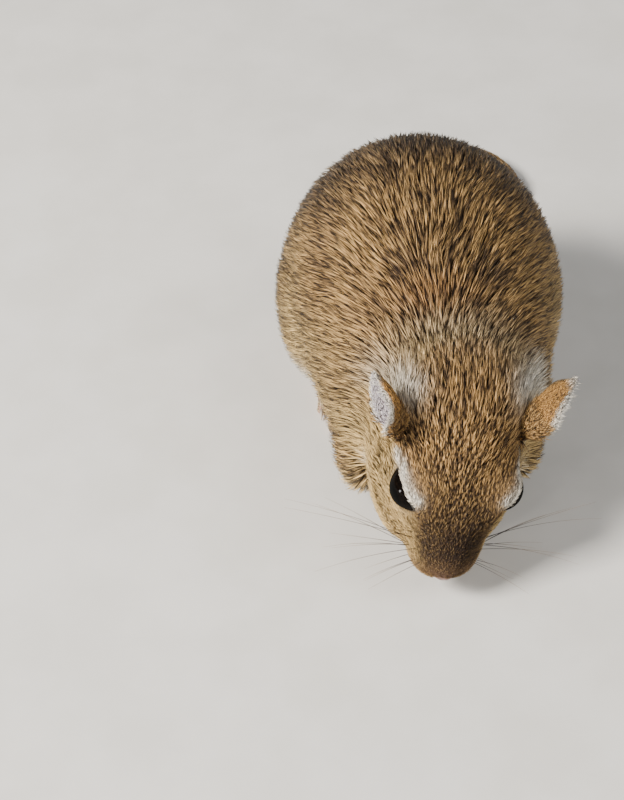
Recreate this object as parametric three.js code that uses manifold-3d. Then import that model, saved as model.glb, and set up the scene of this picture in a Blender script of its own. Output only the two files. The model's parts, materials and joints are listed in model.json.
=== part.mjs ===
// A life-size gerbil crouched with its back rounded and its nose to the ground, in millimetres, +Z up.
// It faces -Y and its own left is +X. The solids reach to the tips of the coat. The exported group has its
// origin at the middle of the bounding box's underside, and what touches the floor is flat at z = 0.

import * as THREE from "three";
import { mergeVertices } from "three/addons/utils/BufferGeometryUtils.js";
import Module from "manifold-3d";

const wasm = await Module();
wasm.setup();

// Driving dimensions
const GAP = 0.3; // between neighbouring sub-parts
const NOSE_TIP = [-1.4, -48, 5.5]; // the head hangs from this point
const HEAD_TURN = { pitch: 55.5, yaw: -13.5, roll: 22 }; // degrees: nose down, to its right, tipped over
const EYE = { at: [6.8, 15.05, 3.25], radius: 3.6, lid: 0.5, facing: [0.93, -0.369, -0.009] }; // head frame
const EYE_OPENING = { long: 69, short: 57, tilt: -18.6 }; // degrees from the way the eye faces, and its slant
const NOSE = { at: [0, 1.2, 0.1], radii: [2.1, 1.7, 1.55] };
const NOSTRIL = { at: [1.05, -0.35, -0.25], radii: [0.42, 1.1, 0.62], turn: [0, 28, 24] };
const LIP_CLEFT = { at: [0, 0.9, -3], radii: [0.28, 1.7, 1.9], turn: [0, 0, 0] };
const JAW = { at: [0, 7.2, -6.6], radii: [3.3, 5.4, 3.9], turn: [-8, 0, 0] };
const EAR = { at: [11.2, 25.4, 4.1], length: 9.7, sunk: 3.4, width: 9.4, thickness: 0.9 };
const HIND_FOOT = { toeY: -11, heelY: 16, x: 14, turn: 1 }; // the claws reach a little past toeY
const FORE_PAW = { x: 4.4, y: -28.5, turn: -4 };
const HAUNCH_CUT = { at: [20, 6, 14.5], radii: [10.5, 16, 13.5], turn: [0, 0, 8] };
const TAIL_ROOT_RADIUS = 4.4;
const TAIL_RADIUS = 2.2;
const BRUSH = { tiers: 5, around: 5, reach: 8.5, core: 1.75, halfWidth: 1.15, halfThickness: 0.55, seed: 7 };

const CAST_SIDES = 32; // round the trunk and head
const STEP_OUT = 0.5; // how far a ray walks at a time while it is still inside

// The masses of the trunk, each an ellipsoid: centre, radii, turn about x, y, z in degrees, and how softly it
// blends into the masses before it. A mirrored one has a twin on the other side.
const TRUNK = [
  { name: "rump", at: [0, 2.5, 23.2], radii: [23.4, 25.6, 23.5], turn: [0, 0, 0], blend: 0 },
  { name: "shoulders", at: [0.5, -14, 20.5], radii: [19, 17, 18], turn: [0, 0, 0], blend: 8 },
  { name: "haunch", at: [15, 6.5, 16.2], radii: [9.2, 16, 13.2], turn: [0, 0, 8], blend: 4, mirrored: true },
  { name: "breast", at: [0.5, -21, 16], radii: [17, 12.5, 12], turn: [0, 0, 0], blend: 6 },
  { name: "right_elbow", at: [-12.2, -25.8, 9.8], radii: [4.8, 6.5, 6.2], turn: [0, 0, 0], blend: 5 },
  { name: "left_elbow", at: [12.6, -26.2, 10.5], radii: [4.8, 6.5, 6.2], turn: [0, 0, 0], blend: 5 },
  { name: "nape", at: [2.5, -25, 22.5], radii: [13.5, 11, 13.5], turn: [20, 0, 0], blend: 7 },
];

// The masses of the head, in its own frame: x to its left, y back from the nose tip, z up from the snout.
const HEAD = [
  { name: "cranium", at: [0, 26, 0.5], radii: [10.8, 10, 8.6], turn: [0, 0, 0], blend: 6 },
  { name: "face", at: [0, 16.5, 0.3], radii: [8.9, 11, 7.6], turn: [0, 0, 0], blend: 4 },
  { name: "cheek", at: [5.6, 18, -4.8], radii: [6.5, 9.6, 7], turn: [0, 0, 0], blend: 4, mirrored: true },
  { name: "jowl", at: [5.2, 13.2, -4.4], radii: [5.4, 8.4, 5.8], turn: [0, 0, 0], blend: 3, mirrored: true },
  { name: "muzzle", at: [0, 8, 0], radii: [5.2, 8.6, 5], turn: [0, 0, 0], blend: 4 },
  { name: "whisker_pad", at: [2.5, 4.8, -1.2], radii: [3, 4.4, 3.2], turn: [0, 0, 0], blend: 2, mirrored: true },
  { name: "chin", at: [0, 8, -4], radii: [3.8, 6, 2.8], turn: [0, 0, 0], blend: 2 },
  { name: "brow", at: [5.4, 15.4, 3.4], radii: [3.7, 6.6, 3.1], turn: [0, 0, 0], blend: 3, mirrored: true },
];

const radians = THREE.MathUtils.degToRad;
const mix = THREE.MathUtils.lerp;
const smooth = (x, low, high) => THREE.MathUtils.smoothstep(x, low, high);
const vec = (p) => new THREE.Vector3(...p);

// Even random draws between 0 and 1, the same on every run
function seeded(seed) {
  let state = seed;
  return () => {
    state = (state * 48271) % 2147483647;
    return state / 2147483647;
  };
}

// The head's frame in the animal's
const headMatrix = new THREE.Matrix4()
  .makeTranslation(...NOSE_TIP)
  .multiply(new THREE.Matrix4().makeRotationZ(radians(HEAD_TURN.yaw)))
  .multiply(new THREE.Matrix4().makeRotationX(radians(HEAD_TURN.pitch)))
  .multiply(new THREE.Matrix4().makeRotationY(radians(HEAD_TURN.roll)));
const fromHead = (p) => vec(p).applyMatrix4(headMatrix);
const headDirection = (p) => vec(p).transformDirection(headMatrix);

function turned([x, y, z]) {
  return new THREE.Matrix4()
    .makeRotationZ(radians(z))
    .multiply(new THREE.Matrix4().makeRotationY(radians(y)))
    .multiply(new THREE.Matrix4().makeRotationX(radians(x)));
}

// Each mass with its twin, placed in the animal's frame, with the matrix that carries a point into its own axes
function placed(masses, frame) {
  const out = [];
  for (const mass of masses) {
    for (const side of mass.mirrored ? [1, -1] : [1]) {
      const mirror = new THREE.Matrix4().makeScale(side, 1, 1);
      const own = new THREE.Matrix4()
        .copy(frame)
        .multiply(mirror)
        .multiply(new THREE.Matrix4().makeTranslation(...mass.at))
        .multiply(turned(mass.turn));
      out.push({ ...mass, side, inverse: own.clone().invert().elements, matrix: own });
    }
  }
  return out;
}

const TRUNK_MASSES = placed(TRUNK, new THREE.Matrix4());
const HEAD_MASSES = [TRUNK_MASSES.find((m) => m.name === "nape"), ...placed(HEAD, headMatrix)];

// Roughly how far a point lies outside an ellipsoid, negative inside
function outsideOf(mass, x, y, z) {
  const m = mass.inverse;
  const [a, b, c] = mass.radii;
  const px = m[0] * x + m[4] * y + m[8] * z + m[12];
  const py = m[1] * x + m[5] * y + m[9] * z + m[13];
  const pz = m[2] * x + m[6] * y + m[10] * z + m[14];
  const near = Math.hypot(px / a, py / b, pz / c);
  const steep = Math.hypot(px / (a * a), py / (b * b), pz / (c * c));
  return steep < 1e-9 ? -Math.min(a, b, c) : (near * (near - 1)) / steep;
}

// The coat's surface is where this is nought: the masses joined with soft blends
function coat(masses, x, y, z) {
  let d = outsideOf(masses[0], x, y, z);
  for (const mass of masses.slice(1)) {
    const e = outsideOf(mass, x, y, z);
    const h = Math.max(mass.blend - Math.abs(d - e), 0) / mass.blend;
    d = Math.min(d, e) - (h * h * mass.blend) / 4;
  }
  return d;
}

// Walks out along a ray from inside the coat to the surface that lies `beyond` mm outside it
function firstExit(masses, from, direction, beyond) {
  const outside = (t) => coat(masses, ...from.clone().addScaledVector(direction, t)) > beyond;
  let far = STEP_OUT;
  while (!outside(far)) far += STEP_OUT;
  let near = far - STEP_OUT;
  for (let i = 0; i < 12; i++) {
    const middle = (near + far) / 2;
    if (outside(middle)) far = middle;
    else near = middle;
  }
  return from.clone().addScaledVector(direction, far);
}

// A closed solid from rings of points, with a point at each end. Each ring goes anticlockwise seen from the last
function solidOfRings(rings, first, last) {
  const sides = rings[0].length;
  const points = [first, ...rings.flat(), last];
  const at = (ring, side) => 1 + ring * sides + (side % sides);
  const end = points.length - 1;
  const triangles = [];
  for (let s = 0; s < sides; s++) {
    triangles.push(0, at(0, s + 1), at(0, s), end, at(rings.length - 1, s), at(rings.length - 1, s + 1));
    for (let r = 0; r + 1 < rings.length; r++) {
      const [a, b, c, d] = [at(r, s), at(r, s + 1), at(r + 1, s + 1), at(r + 1, s)];
      triangles.push(a, b, c, a, c, d);
    }
  }
  return solid(points, triangles);
}

function solid(points, triangles) {
  const geometry = new THREE.BufferGeometry().setFromPoints(points);
  geometry.setIndex(triangles);
  return solidOf(geometry);
}

// A closed geometry as a solid to join and cut, right side out
function solidOf(geometry) {
  geometry.deleteAttribute("normal");
  geometry.deleteAttribute("uv");
  const merged = mergeVertices(geometry, 1e-4);
  const corners = merged.index.array;
  const kept = [];
  for (let i = 0; i < corners.length; i += 3) {
    const [a, b, c] = corners.slice(i, i + 3);
    if (a !== b && b !== c && c !== a) kept.push(a, b, c);
  }
  const make = (triVerts) =>
    new wasm.Manifold(
      new wasm.Mesh({
        numProp: 3,
        vertProperties: new Float32Array(merged.attributes.position.array),
        triVerts: new Uint32Array(triVerts),
      }),
    );
  const made = make(kept);
  return made.volume() > 0 ? made : make(kept.reverse());
}

// A rounded limb along a path: sizeAt gives the half width and half height of its section at each share of the
// way, and `up` the way its height goes
function limb(path, sizeAt, sides, steps, up = [0, 0, 1]) {
  const curve = new THREE.CatmullRomCurve3(path.map(asVector), false, "centripetal");
  const rings = [];
  for (let i = 0; i <= steps; i++) {
    const share = i / steps;
    const centre = curve.getPointAt(share);
    const along = curve.getTangentAt(share);
    const across = new THREE.Vector3().crossVectors(vec(up), along).normalize();
    const height = new THREE.Vector3().crossVectors(along, across);
    const [w, h] = sizeAt(share);
    const ring = [];
    for (let s = 0; s < sides; s++) {
      const turn = (2 * Math.PI * s) / sides;
      ring.push(
        centre
          .clone()
          .addScaledVector(across, w * Math.cos(turn))
          .addScaledVector(height, h * Math.sin(turn)),
      );
    }
    rings.push(ring);
  }
  const tip = (share, sign) => {
    const [w, h] = sizeAt(share);
    return curve.getPointAt(share).addScaledVector(curve.getTangentAt(share), sign * Math.min(w, h) * 0.6);
  };
  return solidOfRings(rings, tip(0, -1), tip(1, 1));
}

// An ellipsoid solid from a sphere geometry
function ellipsoid(at, radii, matrix = new THREE.Matrix4(), turn = [0, 0, 0], columns = 18, rows = 12) {
  const geometry = new THREE.SphereGeometry(1, columns, rows);
  geometry.applyMatrix4(
    matrix
      .clone()
      .multiply(new THREE.Matrix4().makeTranslation(...at))
      .multiply(turned(turn))
      .multiply(new THREE.Matrix4().makeScale(...radii)),
  );
  return solidOf(geometry);
}

// Only the largest closed surface of a solid
function largest(made) {
  const pieces = made.decompose();
  return pieces.reduce((a, b) => (b.volume() > a.volume() ? b : a));
}

const join = (...solids) => wasm.Manifold.union(solids);
const asVector = (p) => (p.isVector3 ? p : vec(p));
const lineThrough = (...points) => new THREE.CatmullRomCurve3(points.map(asVector));
const mirroredX = (side) => new THREE.Matrix4().makeScale(side, 1, 1);

// The line inside the trunk from the rump to the breast, and the one inside the head from the nape to the
// muzzle, each with the way that is up along it
const trunkLine = {
  masses: TRUNK_MASSES,
  curve: lineThrough([0, 14, 22.5], [0, 3, 23.5], [0.4, -9, 22.5], [1, -18, 20], [1.4, -24.5, 18]),
  up: vec([0, 0, 1]),
  along: 17,
  fans: [6, 6],
};
const headLine = {
  masses: HEAD_MASSES,
  curve: lineThrough([2.2, -19, 24], fromHead([0, 23, -2.4]), fromHead([0, 13, -0.8]), fromHead([0, 4.2, -0.6])),
  up: headDirection([0, 0, 1]),
  along: 20,
  fans: [4, 6],
};

// A form in one: rings of rays cast out from its line, fanned round both ends
function castForm({ masses, curve, up, along, fans }, beyond) {
  const stations = [];
  for (let i = 1; i < fans[0]; i++) stations.push({ share: 0, lean: mix(-90, 0, i / fans[0]) });
  for (let i = 0; i <= along; i++) stations.push({ share: i / along, lean: 0 });
  for (let i = 1; i < fans[1]; i++) stations.push({ share: 1, lean: mix(0, 90, i / fans[1]) });
  const rings = stations.map(({ share, lean }) => {
    const from = curve.getPointAt(share);
    const forward = curve.getTangentAt(share);
    const left = new THREE.Vector3().crossVectors(forward, up).normalize();
    const over = new THREE.Vector3().crossVectors(left, forward);
    const ring = [];
    for (let s = 0; s < CAST_SIDES; s++) {
      const turn = (2 * Math.PI * s) / CAST_SIDES;
      const direction = new THREE.Vector3()
        .addScaledVector(left, Math.cos(radians(lean)) * Math.cos(turn))
        .addScaledVector(over, Math.cos(radians(lean)) * Math.sin(turn))
        .addScaledVector(forward, Math.sin(radians(lean)));
      ring.push(firstExit(masses, from, direction, beyond));
    }
    return ring;
  });
  const first = firstExit(masses, curve.getPointAt(0), curve.getTangentAt(0).negate(), beyond);
  const last = firstExit(masses, curve.getPointAt(1), curve.getTangentAt(1), beyond);
  return solidOfRings(rings, first, last);
}

const trunkWhole = castForm(trunkLine, 0);
const trunkClear = castForm(trunkLine, GAP);
const headWhole = castForm(headLine, 0);
const headClear = castForm(headLine, GAP);
const clear = join(trunkClear, headClear); // what grows out of the body is cut back to this

// Cuts a solid with a plane: the part behind it and the part that it faces, with the gap between them
function cutAt(made, at, facing) {
  const way = facing.clone().normalize();
  const level = at.dot(way);
  const behind = made.trimByPlane(way.clone().negate().toArray(), GAP / 2 - level);
  const ahead = made.trimByPlane(way.toArray(), level + GAP / 2);
  return [largest(behind), largest(ahead)];
}

// Thighs: the bulge over each hip is cut from the trunk by a round form that stands out past the flank
function haunchCutter(side, beyond) {
  const radii = HAUNCH_CUT.radii.map((r) => r + beyond);
  return ellipsoid(HAUNCH_CUT.at, radii, mirroredX(side), HAUNCH_CUT.turn, 22, 14);
}

// The eyelids are a shell over the eyeball; this almond cone opens them
function lidOpening(side) {
  const outward = vec(EYE.facing).normalize();
  const level = new THREE.Vector3().crossVectors(vec([0, 0, 1]), outward).normalize();
  const back = level.applyAxisAngle(outward, radians(EYE_OPENING.tilt));
  const over = new THREE.Vector3().crossVectors(outward, back);
  const count = 18;
  const ringAt = (distance) => {
    const ring = [];
    for (let i = 0; i < count; i++) {
      const turn = (2 * Math.PI * i) / count;
      const spread = radians(mix(EYE_OPENING.short, EYE_OPENING.long, Math.abs(Math.cos(turn)) ** 1.8));
      ring.push(
        vec(EYE.at)
          .addScaledVector(outward, distance * Math.cos(spread))
          .addScaledVector(back, distance * Math.sin(spread) * Math.cos(turn))
          .addScaledVector(over, distance * Math.sin(spread) * Math.sin(turn)),
      );
    }
    return ring.map((p) => p.applyMatrix4(mirroredX(side)).applyMatrix4(headMatrix));
  };
  const along = (distance) => {
    const point = vec(EYE.at).addScaledVector(outward, distance);
    return point.applyMatrix4(mirroredX(side)).applyMatrix4(headMatrix);
  };
  const cone = solidOfRings([ringAt(1.5), ringAt(7)], along(1), along(7));
  return cone.intersect(eyeball(side, GAP + EYE.lid + 0.5));
}

// One eyeball, clear of its socket by `beyond`
function eyeball(side, beyond) {
  const at = [EYE.at[0] * side, EYE.at[1], EYE.at[2]];
  return ellipsoid(at, Array(3).fill(EYE.radius + beyond), headMatrix, [0, 0, 0], 16, 10);
}

// An ear: a leaf of skin rolled into a cup at its foot, its mouth to the side and a little forward
function ear(side) {
  const length = vec([0.442, 0.771, 0.458]).normalize();
  const mouth = vec([0.875, -0.483, -0.03]).projectOnPlane(length).normalize(); // the way the cup opens
  const width = new THREE.Vector3().crossVectors(mouth, length); // towards its front rim
  const columns = 10;
  const rows = 9;
  const leaf = (share, v, depth) => {
    const reach = mix(-EAR.sunk, EAR.length, share);
    const full = mix(0.7, 1, Math.sin(Math.PI * Math.min(share * 1.1, 1)));
    const round = Math.sqrt(Math.max(1 - smooth(share, 0.5, 1.02) ** 2, 0.015));
    const half = (EAR.width / 2) * full * round;
    const roll = radians(mix(120, 38, smooth(share, 0.1, 0.8))); // half the angle that the leaf wraps
    const radius = half / roll;
    const turn = roll * v;
    return vec(EAR.at)
      .addScaledVector(length, reach)
      .addScaledVector(mouth, (radius + depth) * (1 - Math.cos(turn)) - depth - half * 0.35)
      .addScaledVector(width, (radius + depth) * Math.sin(turn));
  };
  const rings = [];
  for (let i = 0; i <= rows; i++) {
    const share = i / rows;
    const thick = EAR.thickness * mix(1.3, 0.8, share);
    const ring = [];
    for (let j = 0; j <= columns; j++) ring.push(leaf(share, mix(-1, 1, j / columns), thick / 2));
    for (let j = 0; j <= columns; j++) ring.push(leaf(share, mix(1, -1, j / columns), -thick / 2));
    rings.push(ring.map((p) => p.applyMatrix4(mirroredX(side)).applyMatrix4(headMatrix)));
  }
  const middle = (ring) => ring.reduce((a, p) => a.add(p), new THREE.Vector3()).divideScalar(ring.length);
  return solidOfRings(rings, middle(rings[0]), middle(rings[rows]));
}

// A claw that curves down from the tip of a toe
function claw(at, direction, length, radius) {
  const tip = at.clone().addScaledVector(direction, length);
  tip.z = Math.max(at.z - length * 0.35, 0.25);
  const middle = at.clone().addScaledVector(direction, length * 0.55);
  middle.z += radius * 0.25;
  return limb([at.clone().addScaledVector(direction, -radius), middle, tip], (t) => {
    const r = radius * (1 - 0.8 * t);
    return [r * 0.75, r];
  }, 4, 3);
}

// One toe with its claw, arched over its knuckle
function toe(at, bearing, length, radius) {
  const direction = vec([Math.sin(radians(bearing)), -Math.cos(radians(bearing)), 0]);
  const knuckle = at.clone().addScaledVector(direction, length * 0.5);
  knuckle.z = at.z + radius * 0.3;
  const tip = at.clone().addScaledVector(direction, length);
  tip.z = radius * 0.85;
  const made = limb([at, knuckle, tip], (t) => {
    const r = radius * (1.05 - 0.2 * t + 0.1 * Math.sin(Math.PI * 2 * t));
    return [r, r * 0.95];
  }, 6, 4);
  return join(made, claw(tip, direction, radius * 2.3, radius * 0.5));
}

// Hind feet: long, flat on the ground from heel to toe, five toes with the outer ones shorter and set back
function hindFoot(side) {
  const sole = HIND_FOOT;
  const length = sole.heelY - sole.toeY;
  const path = [
    [0, length * 0.5, 5.2],
    [0, length * 0.42, 3],
    [0, length * 0.2, 2.1],
    [0, -length * 0.02, 1.9],
    [0, -length * 0.14, 1.5],
  ];
  const size = (t) => [mix(2.3, 3.5, smooth(t, 0.1, 0.9)), mix(2.6, 1.7, smooth(t, 0, 0.8))];
  const foot = limb(path, size, 12, 8);
  const toes = [-2, -1, 0, 1, 2].map((i) => {
    const outer = Math.abs(i) === 2;
    const at = vec([i * 1.35, -length * (outer ? 0.05 : 0.11), 1.5]);
    return toe(at, i * 4.5, (outer ? 6.4 : 9) - Math.abs(i) * 0.35, outer ? 1.05 : 1.2);
  });
  const place = new THREE.Matrix4()
    .makeTranslation(sole.x * side, (sole.heelY + sole.toeY) / 2, 0)
    .multiply(new THREE.Matrix4().makeRotationZ(radians(sole.turn * -side)));
  return join(foot, ...toes).transform(place.elements);
}

// The forearm comes forward and in from the elbow to the wrist
const WRIST = [FORE_PAW.x + 1.2, FORE_PAW.y + 2.6, 3];
function foreleg(side) {
  const path = [
    [12, -20.5, 10],
    [10.4, -24, 6.4],
    [7.6, -25.6, 4.2],
    WRIST,
    [FORE_PAW.x, FORE_PAW.y, 1.9],
  ].map(([x, y, z]) => [x * side, y, z]);
  const size = (t) => [mix(4.4, 2, smooth(t, 0, 0.75)), mix(4.6, 1.9, smooth(t, 0, 0.75))];
  return limb(path, size, 12, 8);
}

// Forepaws: a small palm and four toes, with the thumb a mere nub
function forePaw(side) {
  const palm = ellipsoid([0, 0, 1.55], [2.5, 3, 1.6], new THREE.Matrix4(), [0, 0, 0], 12, 8);
  const toes = [-1.5, -0.5, 0.5, 1.5].map((i) => {
    const at = vec([i * 1.15, -1.5 + Math.abs(i) * 0.35, 1.15]);
    return toe(at, i * 11, 4.4 - Math.abs(i) * 0.45, 0.82);
  });
  const thumb = limb([[-1.9, 0.6, 1.1], [-2.9, -0.3, 0.8]], () => [0.6, 0.6], 5, 2);
  const place = new THREE.Matrix4()
    .makeTranslation(FORE_PAW.x * side, FORE_PAW.y, 0)
    .multiply(new THREE.Matrix4().makeRotationZ(radians(FORE_PAW.turn * -side)))
    .multiply(mirroredX(side));
  const made = join(palm, ...toes, thumb);
  return made.transform(place.elements);
}

// The tail leaves the rump, comes down to the ground and lies behind the animal in an S
const TAIL = [
  [0, 22, 12.5],
  [2, 29.5, 8.4],
  [8, 36.5, 3.6],
  [16.5, 41.5, 2.2],
  [22.3, 49, 2.2],
  [19.5, 58, 2.2],
  [10, 63, 2.2],
  [-1, 61.5, 2.2],
  [-9.5, 54.5, 2.2],
  [-13.5, 44.5, 2.2],
];
const tailCurve = new THREE.CatmullRomCurve3(TAIL.map(vec), false, "centripetal");
const TAIL_LENGTHS = ["tail_root", "tail_bend", "tail_end", "tail_brush"];
const TAIL_CUTS = [0.27, 0.5, 0.73]; // shares of the way along the tail
const tailRadius = (t) => mix(mix(TAIL_ROOT_RADIUS, TAIL_RADIUS, smooth(t, 0, 0.42)), TAIL_RADIUS * 0.82, t);

// One length of the tail, cut square where it meets the next
function tailLength(index) {
  const brush = index === TAIL_LENGTHS.length - 1;
  const from = index ? TAIL_CUTS[index - 1] : 0;
  const to = brush ? 1 : TAIL_CUTS[index];
  const points = [];
  for (let i = 0; i <= 8; i++) points.push(tailCurve.getPointAt(mix(from, to, i / 8)));
  const size = brush ? brushCore : (t) => Array(2).fill(tailRadius(mix(from, to, t)));
  let made = limb(points, size, brush ? 10 : 12, 9);
  if (brush) made = join(made, ...brushLocks(from));
  if (index) {
    const along = tailCurve.getTangentAt(from);
    made = made.trimByPlane(along.toArray(), tailCurve.getPointAt(from).dot(along) + GAP / 2);
  }
  if (!brush) {
    const along = tailCurve.getTangentAt(to);
    made = made.trimByPlane(along.clone().negate().toArray(), GAP / 2 - tailCurve.getPointAt(to).dot(along));
  }
  return made;
}

// The brush's core is the end of the tail itself
function brushCore(t) {
  const r = mix(TAIL_RADIUS * 0.84, BRUSH.core, smooth(t, 0, 0.3)) * mix(1, 0.55, smooth(t, 0.6, 1));
  return [r, r];
}

// How far the tips of the brush's hair stand from the tail's middle line
function brushReach(t) {
  return TAIL_RADIUS * 0.9 + 1.3 * Math.sin(Math.PI * Math.min(t * 0.8, 1)) - 1.5 * smooth(t, 0.85, 1.25);
}

// A point beside the tail's middle line, which runs straight on past its end, and the way out to it
function besideTail(share, turn, out) {
  const on = Math.min(share, 1);
  const along = tailCurve.getTangentAt(on);
  const across = new THREE.Vector3().crossVectors(vec([0, 0, 1]), along).normalize();
  const height = new THREE.Vector3().crossVectors(along, across);
  const radial = across.multiplyScalar(Math.cos(turn)).addScaledVector(height, Math.sin(turn));
  const middle = tailCurve.getPointAt(on).addScaledVector(along, (share - on) * tailCurve.getLength());
  return { point: middle.addScaledVector(radial, out), radial };
}

// The brush's hair: tapered locks in tiers round the core, each rooted in it and lying back along the tail. The
// last tier runs on past its end
function brushLocks(from) {
  const random = seeded(BRUSH.seed);
  const locks = [];
  for (let tier = 0; tier < BRUSH.tiers; tier++) {
    for (let i = 0; i < BRUSH.around; i++) {
      const root = mix(0.1, 0.93, tier / (BRUSH.tiers - 1)) + 0.05 * random();
      const turn = (2 * Math.PI * (i + tier * 0.5 + 0.3 * random())) / BRUSH.around;
      const reach = BRUSH.reach * mix(0.85, 1.15, random());
      const drift = 0.5 * (random() - 0.5);
      const wide = BRUSH.halfWidth * mix(0.85, 1.15, random());
      const places = [0, 1, 2, 3].map((k) => {
        const share = root + ((k / 3) * reach) / (tailCurve.getLength() * (1 - from));
        const tip = brushReach(share);
        const out = [0.5 * BRUSH.core, mix(BRUSH.core, tip, 0.45), 0.92 * tip, Math.max(tip, 0.3)][k];
        return besideTail(mix(from, 1, share), turn + (drift * k) / 3, out);
      });
      const size = (t) => [wide * (1 - 0.85 * t ** 1.5), BRUSH.halfThickness * (1 - 0.7 * t ** 2)];
      locks.push(limb(places.map((p) => p.point), size, 4, 3, places[3].radial.toArray()));
    }
  }
  return locks;
}

// The nose pad with its two nostrils
function nosePad() {
  const pad = ellipsoid(NOSE.at, NOSE.radii, headMatrix, [0, 0, 0], 16, 10);
  const nostrils = [1, -1].map((side) =>
    ellipsoid(NOSTRIL.at, NOSTRIL.radii, headMatrix.clone().multiply(mirroredX(side)), NOSTRIL.turn, 8, 6),
  );
  return pad.subtract(join(...nostrils));
}

const colours = {
  coat: { color: 0x9a7448, roughness: 0.85, metalness: 0 },
  head: { color: 0xa0794a, roughness: 0.85, metalness: 0 },
  ear: { color: 0xb58a5c, roughness: 0.8, metalness: 0 },
  eye: { color: 0x0b0908, roughness: 0.08, metalness: 0 },
  nose: { color: 0x6e5650, roughness: 0.5, metalness: 0 },
  foot: { color: 0xc4a27f, roughness: 0.75, metalness: 0 },
  tail: { color: 0x8a6842, roughness: 0.85, metalness: 0 },
  brush: { color: 0x2e2620, roughness: 0.9, metalness: 0 },
};

const model = new THREE.Group();
const made = [];

function add(name, piece, colour) {
  const grounded = largest(piece.trimByPlane([0, 0, 1], 0));
  made.push({ name, piece: grounded, colour });
}

// The neck is a wedge: from the withers down to the throat, and behind the ears and the angle of the jaw
const withers = { at: vec([0, -13, 44]), facing: vec([0, -0.876, 0.482]) };
const nape = { at: fromHead([0, 33.5, 0]), facing: vec([0.04, -1, -0.05]) };
const [torsoWhole, ahead] = cutAt(trunkWhole, withers.at, withers.facing);
const [neck] = cutAt(ahead, nape.at, nape.facing);
const [torsoClear] = cutAt(trunkClear, withers.at.clone().add(vec([0, -GAP, 0])), withers.facing);
const headOnly = cutAt(headWhole, nape.at, nape.facing)[1].subtract(torsoClear);

const torso = torsoWhole.subtract(join(haunchCutter(1, GAP), haunchCutter(-1, GAP)));

function jawCutter(beyond) {
  return ellipsoid(JAW.at, JAW.radii.map((r) => r + beyond), headMatrix, JAW.turn, 18, 12);
}

const noseCutter = ellipsoid(NOSE.at, NOSE.radii.map((r) => r + GAP), headMatrix, [0, 0, 0], 16, 10);
const lipCleft = ellipsoid(LIP_CLEFT.at, LIP_CLEFT.radii, headMatrix, LIP_CLEFT.turn, 8, 8);
const lidShells = [1, -1].map((side) => eyeball(side, GAP + EYE.lid));
const head = join(headOnly, ...lidShells)
  .subtract(join(eyeball(1, GAP), eyeball(-1, GAP), lidOpening(1), lidOpening(-1)))
  .subtract(join(jawCutter(GAP), noseCutter, lipCleft));

add("torso", torso, colours.coat);
add("neck", neck, colours.coat);
add("head", head, colours.head);
add("jaw", headOnly.intersect(jawCutter(0)), colours.head);
add("nose", nosePad(), colours.nose);

// The forearm is cut square at the wrist, and what is past the cut belongs to the paw
const WRIST_FACING = vec([0, -0.62, -0.78]).normalize();
function forelegAndPaw(side) {
  const level = vec([WRIST[0] * side, WRIST[1], WRIST[2]]).dot(WRIST_FACING);
  const ahead = (piece, from) => piece.trimByPlane(WRIST_FACING.toArray(), from);
  const behind = (piece, to) => piece.trimByPlane(WRIST_FACING.clone().negate().toArray(), -to);
  const arm = foreleg(side).subtract(clear);
  const paw = forePaw(side);
  return {
    leg: behind(arm, level).subtract(behind(paw, level + GAP)),
    paw: ahead(join(paw, ahead(arm, level + GAP)), level + GAP),
  };
}

for (const [hand, side] of [["left", 1], ["right", -1]]) {
  const front = forelegAndPaw(side);
  add("haunch_" + hand, largest(torsoWhole.intersect(haunchCutter(side, 0))), colours.coat);
  add("eye_" + hand, eyeball(side, 0), colours.eye);
  add("ear_" + hand, ear(side).subtract(clear), colours.ear);
  add("hindfoot_" + hand, hindFoot(side).subtract(clear), colours.foot);
  add("foreleg_" + hand, front.leg, colours.coat);
  add("forepaw_" + hand, front.paw, colours.foot);
}

TAIL_LENGTHS.forEach((name, index) => {
  const length = tailLength(index);
  add(name, index ? length : length.subtract(clear), name === "tail_brush" ? colours.brush : colours.tail);
});

function meshOf({ name, piece, colour }) {
  const mesh = piece.getMesh();
  const positions = new Float32Array(mesh.numVert * 3);
  for (let i = 0; i < mesh.numVert; i++) {
    positions.set(mesh.vertProperties.subarray(i * mesh.numProp, i * mesh.numProp + 3), i * 3);
  }
  const geometry = new THREE.BufferGeometry();
  geometry.setAttribute("position", new THREE.BufferAttribute(positions, 3));
  geometry.setIndex(new THREE.BufferAttribute(mesh.triVerts, 1));
  geometry.computeVertexNormals();
  const out = new THREE.Mesh(geometry, new THREE.MeshStandardMaterial(colour));
  out.name = name;
  return out;
}

for (const part of made) model.add(meshOf(part));

// The origin goes to the middle of the underside
const box = new THREE.Box3().setFromObject(model);
for (const mesh of model.children) {
  mesh.position.set(-(box.min.x + box.max.x) / 2, -(box.min.y + box.max.y) / 2, 0);
}

export default model;
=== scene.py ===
"""A life-size gerbil crouched with its back rounded and its nose to the ground.

The animal faces -Y and its own left is +X. Shapes are worked out in millimetres in the animal's own frame,
from the same named masses as the solids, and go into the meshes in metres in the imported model's frame.
"""

import json
import math
from itertools import product
from types import SimpleNamespace as Named

import bmesh
import bpy
import numpy as np
from mathutils import Matrix, Vector

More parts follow.
